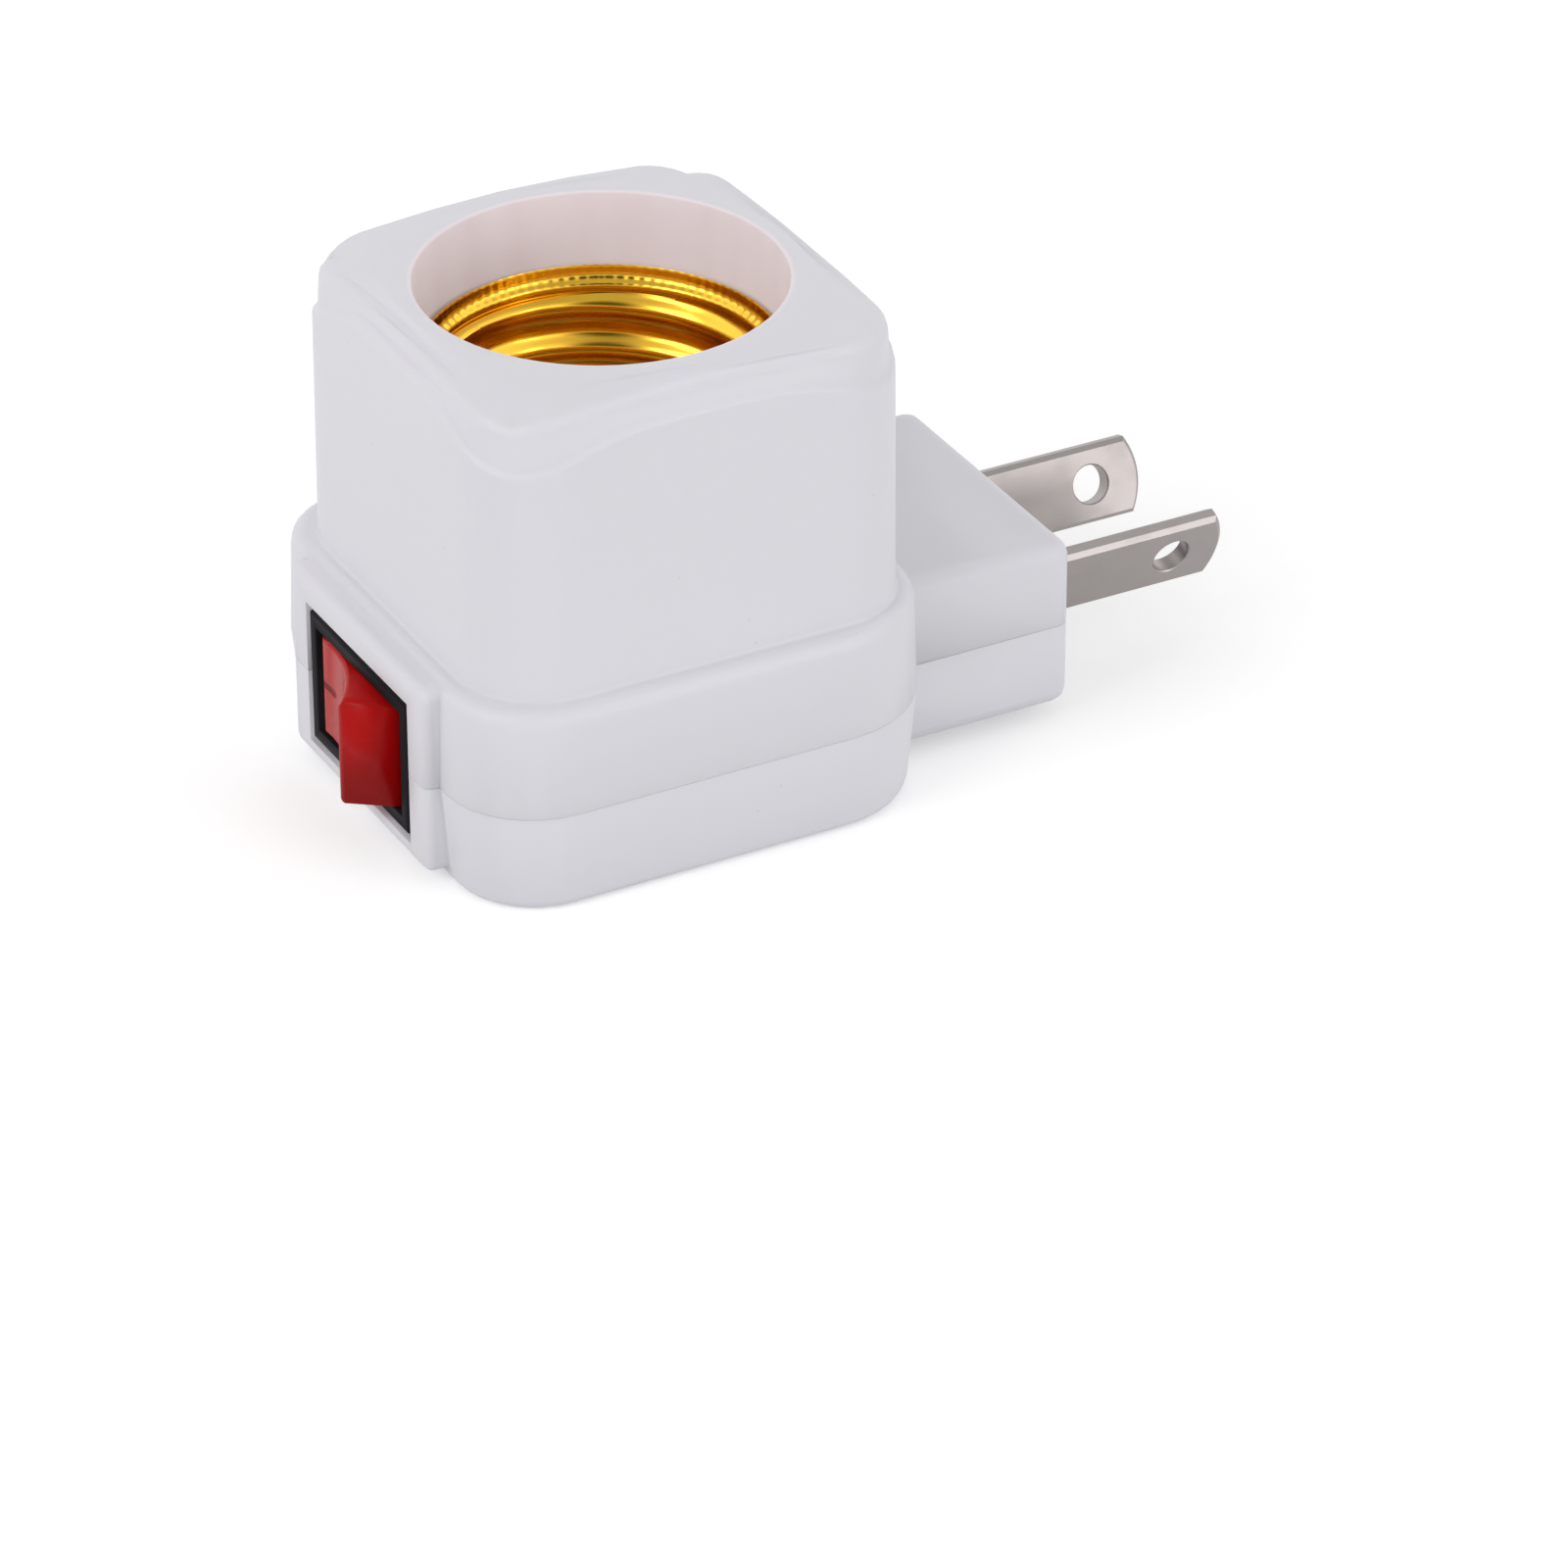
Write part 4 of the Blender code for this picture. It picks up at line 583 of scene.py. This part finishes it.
case_form = weigh_edges(solid_copy("switch_body"), lambda first, second: 1.0, snug_bezel)
broken_edges(
    "switch_body", "switch_body_moulding", "housing", "black_nylon", black_nylon, case_edge,
    mesh=case_form,
)


# Rocker
# A red moulding with a dished face that tips between ON and OFF. A short line is sunk in the half
# that turns the lamp on and a ring in the other, and their floors are left duller than the face.
# Their floors are also painted a darker red, as painted shade in the sunk grooves.

rocker = {
    "axis_x": -0.01875, "outward": (-0.9455, 0.3256), "shoulder": 0.0003, "edge": 0.00042, "edge_steps": 4,
}
# The marks' colour is painted shade: a darker red standing in for the shade inside the grooves.
marks = {
    "origin": (-0.01875, 0.0, 0.0087), "stroke_edge": (0.38, 0.62), "depth": 0.00012, "relief": 0.7,
    "dulling": 0.22, "color": (0.17, 0.003, 0.004, 1),
}

red_rocker, red_tree, red_shader = moulded(
    "red moulding", color=(0.44, 0.0038, 0.004), roughness=0.27,
    settings={"Shade change": 0.06, "Speck amount": 0.05, "Roughness change": 0.05}, relief=0.00001,
)
red_shader.inputs["Specular IOR Level"].default_value = 0.10


def rocker_marks_group():
    """A line and a ring in the rocker's own plane, as a mask. Distances are in metres."""
    group, given, result = new_group(
        "Rocker marks",
        [
            ("Along", "NodeSocketVector", (0.32557, 0.94552, 0.0)),
            ("Line place", "NodeSocketFloat", 0.0043),
            ("Line length", "NodeSocketFloat", 0.0021),
            ("Ring place", "NodeSocketFloat", -0.0038),
            ("Ring radius", "NodeSocketFloat", 0.0010),
            ("Stroke", "NodeSocketFloat", 0.00056),
        ],
        [("Mask", "NodeSocketFloat")],
    )
    place = vector_maths(group, "SUBTRACT", object_space(group), marks["origin"])[0]
    along = vector_maths(group, "DOT_PRODUCT", place, given["Along"])["Value"]
    height = height_of(group, place)

    def square(value):
        return maths(group, "POWER", maths(group, "ABSOLUTE", value), 2.0)

    def distance(sideways):
        return maths(group, "SQRT", maths(group, "ADD", square(sideways), square(height)))

    from_line = maths(group, "ABSOLUTE", maths(group, "SUBTRACT", along, given["Line place"]))
    half_line = maths(group, "MULTIPLY", given["Line length"], 0.5)
    past_end = maths(group, "MAXIMUM", maths(group, "SUBTRACT", from_line, half_line), 0.0)
    from_ring = distance(maths(group, "SUBTRACT", along, given["Ring place"]))
    ring = maths(group, "ABSOLUTE", maths(group, "SUBTRACT", from_ring, given["Ring radius"]))
    nearest = maths(group, "MINIMUM", distance(past_end), ring)
    strokes = maths(group, "DIVIDE", nearest, given["Stroke"])
    put(group, result["Mask"], remap(group, strokes, *marks["stroke_edge"], 1.0, 0.0))
    return group


def sink_and_shade_marks(tree, shader):
    mask = use_group(tree, rocker_marks_group(), {})["Mask"]
    color, rough, normal = [shader.inputs[label] for label in ("Base Color", "Roughness", "Normal")]
    grain = normal.links[0].from_socket
    dip = maths(tree, "MULTIPLY", mask, -1.0)
    # Painted shade: the marks are painted a darker red where they are sunk.
    put(tree, color, blend(tree, mask, color.links[0].from_socket, marks["color"]))
    put(tree, rough, maths(tree, "MULTIPLY_ADD", mask, marks["dulling"], rough.links[0].from_socket))
    put(tree, normal, bump(tree, dip, marks["relief"], marks["depth"], grain))


sink_and_shade_marks(red_tree, red_shader)


def outside_weight(first, second):
    """Full rounding on what stands out of the switch, none on the stem and pivots inside."""
    across, along = rocker["outward"]
    out = [(place.x - rocker["axis_x"]) * across + place.y * along for place in (first, second)]
    return 1.0 if min(out) > rocker["shoulder"] else 0.0


rocker_form = weigh_edges(solid_copy("switch_rocker"), outside_weight)
broken_edges(
    "switch_rocker", "switch_rocker_moulding", "rocker", "red_rocker_plastic", red_rocker,
    rocker["edge"], rocker["edge_steps"], rocker_form,
)


# Inside the switch
# A brass see-saw lever, the plunger that drives it, and the two terminal blades that go out
# through the back of the case.

plunger_edge = 0.00006
blade_edge = 0.0001
broken_edges("rocker_plunger", "rocker_plunger_pin", "rocker", "yellow_brass", brass_finish, plunger_edge)
broken_edges("contact_lever", "contact_lever_strip", "lever", "yellow_brass", brass_finish, strip_edge)
for solid in ("switch_terminal_common", "switch_terminal_load"):
    broken_edges(solid, solid + "_blade", "housing", "yellow_brass", brass_finish, blade_edge)


# Cover screws and spring
# Zinc-plated steel, bright with a faint blue-grey bloom. The screws hold the back cover from
# behind, and the spring sits in the rocker's stem and pushes the plunger.

screw_edge = 0.00008
wire_edge = 0.00002
zinc_finish = bare_metal(
    "zinc plate", color=(0.62, 0.62, 0.64), roughness=0.28,
    settings={"Stain color": (0.45, 0.46, 0.50, 1), "Stain amount": 0.6, "Stain size": 500.0},
)
for solid in ("cover_screw_left", "cover_screw_right", "cover_screw_plug"):
    broken_edges(solid, solid + "_head", "housing", "zinc_steel", zinc_finish, screw_edge)
broken_edges("rocker_spring", "rocker_spring_coil", "rocker", "zinc_steel", zinc_finish, wire_edge, 1)


# Wires
# Stranded copper in soft PVC: black for the live, white for the neutral, red for the switched wire.
# They run inside the body, from the pin contacts to the switch and the solder tags.

jacket_edge = 0.00005
for name, slot, color in (
    ("live", "black_insulation", (0.02, 0.02, 0.02)),
    ("neutral", "white_insulation", (0.62, 0.62, 0.6)),
    ("switched", "red_insulation", (0.42, 0.02, 0.02)),
):
    jacket = moulded(name + " insulation", color, 0.45, {"Shade change": 0.15, "Roughness change": 0.1})[0]
    broken_edges("wire_" + name, "wire_" + name + "_jacket", "housing", slot, jacket, jacket_edge, 1)


# Studio
# A white floor that keeps the holder's soft shadow, and a pale surround. Metal sees its walls bright,
# its ceiling dimmer and a dark patch behind the camera. Soft boxes stand left and front right.

floor_half, floor_drop, floor_tone, floor_lift = 4.0, 0.00002, 0.80, 0.36
sky_light = (0.88, 0.63)
walls = {"top": 0.45, "level": 1.6}
ceiling = {"edge": 0.62, "full": 0.92, "level": 0.4}
dark_patch = {"direction": (-0.34, -0.70, 0.62), "edge": 0.88, "full": 0.975, "level": 0.07}
camera_place = (-0.2272, -0.4492, 0.2988)
camera_turn = (59.032, 0.0, -28.404)
camera_lens, camera_sensor = 171.26, 36.0
lamps = (
    ("side_box", (-0.88, -0.14, 0.70), (0, 0, 0.02), (0.52, 0.52), 3.0),
    ("front_box", (0.60, -0.97, 0.56), (0, 0, 0.02), (0.26, 0.80), 1.3),
    ("low_strip", (0.56, -1.06, 0.14), (0.05, 0, 0.01), (0.5, 0.26), 1.45),
)


def seen_directly(tree):
    """Camera rays, and all the rays that should meet the white background."""
    path = add_node(tree, "ShaderNodeLightPath").outputs
    first = maths(tree, "MAXIMUM", path["Is Camera Ray"], path["Is Glossy Ray"])
    return path["Is Camera Ray"], maths(tree, "MAXIMUM", first, path["Is Transmission Ray"])


def studio_floor():
    bm = bmesh.new()
    bmesh.ops.create_grid(bm, x_segments=1, y_segments=1, size=floor_half)
    mesh = bpy.data.meshes.new("floor")
    bm.to_mesh(mesh)
    bm.free()
    floor = bpy.data.objects.new("floor", mesh)
    bpy.context.scene.collection.objects.link(floor)
    floor.location = (0, 0, -floor_drop)
    material = bpy.data.materials.new("white floor")
    material.use_nodes = True
    tree = material.node_tree
    inputs = tree.nodes["Principled BSDF"].inputs
    inputs["Base Color"].default_value = (floor_tone, floor_tone, floor_tone, 1)
    inputs["Roughness"].default_value = 0.9
    inputs["Specular IOR Level"].default_value = 0.0
    inputs["Emission Color"].default_value = (1, 1, 1, 1)
    put(tree, inputs["Emission Strength"], maths(tree, "MULTIPLY", seen_directly(tree)[1], floor_lift))
    mesh.materials.append(material)


def studio_world():
    world = bpy.data.worlds.new("pale surround")
    bpy.context.scene.world = world
    world.use_nodes = True
    tree = world.node_tree
    back = tree.nodes["Background"].inputs
    back["Color"].default_value = (1.0, 1.0, 1.0, 1)
    direction = add_node(tree, "ShaderNodeTexCoord").outputs["Generated"]
    rise = height_of(tree, direction)
    camera, seen = seen_directly(tree)
    light = remap(tree, rise, 0.0, 1.0, *sky_light)
    brighter = remap(tree, rise, 0.0, walls["top"], 1.0, walls["level"])
    dimmer = remap(tree, rise, ceiling["edge"], ceiling["full"], 1.0, ceiling["level"])
    behind_camera = vector_maths(tree, "DOT_PRODUCT", direction, dark_patch["direction"])["Value"]
    dark = remap(tree, behind_camera, dark_patch["edge"], dark_patch["full"], 1.0, dark_patch["level"])
    gloss = maths(tree, "MULTIPLY", maths(tree, "MULTIPLY", brighter, dimmer), dark)
    level = add_node(tree, "ShaderNodeMix", (), {0: seen, 2: light, 3: gloss}).outputs[0]
    strength = add_node(tree, "ShaderNodeMix", (), {0: camera, 2: level, 3: 1.0}).outputs[0]
    put(tree, back["Strength"], strength)


def studio_lamp(name, location, target, size, power):
    lamp = bpy.data.lights.new(name, "AREA")
    lamp.shape = "RECTANGLE"
    lamp.size, lamp.size_y = size
    lamp.energy = power
    holder = bpy.data.objects.new(name, lamp)
    bpy.context.scene.collection.objects.link(holder)
    holder.location = location
    holder.rotation_euler = (Vector(target) - Vector(location)).to_track_quat("-Z", "Y").to_euler()
    holder.visible_camera = False


def studio_camera():
    data = bpy.data.cameras.new("camera")
    data.sensor_width = camera_sensor
    data.lens = camera_lens
    data.clip_start = 0.01
    data.clip_end = 20.0
    camera = bpy.data.objects.new("camera", data)
    bpy.context.scene.collection.objects.link(camera)
    camera.location = camera_place
    camera.rotation_euler = [math.radians(angle) for angle in camera_turn]
    bpy.context.scene.camera = camera


studio_floor()
studio_world()
for lamp in lamps:
    studio_lamp(*lamp)
studio_camera()
bpy.context.scene.view_settings.view_transform = "Standard"
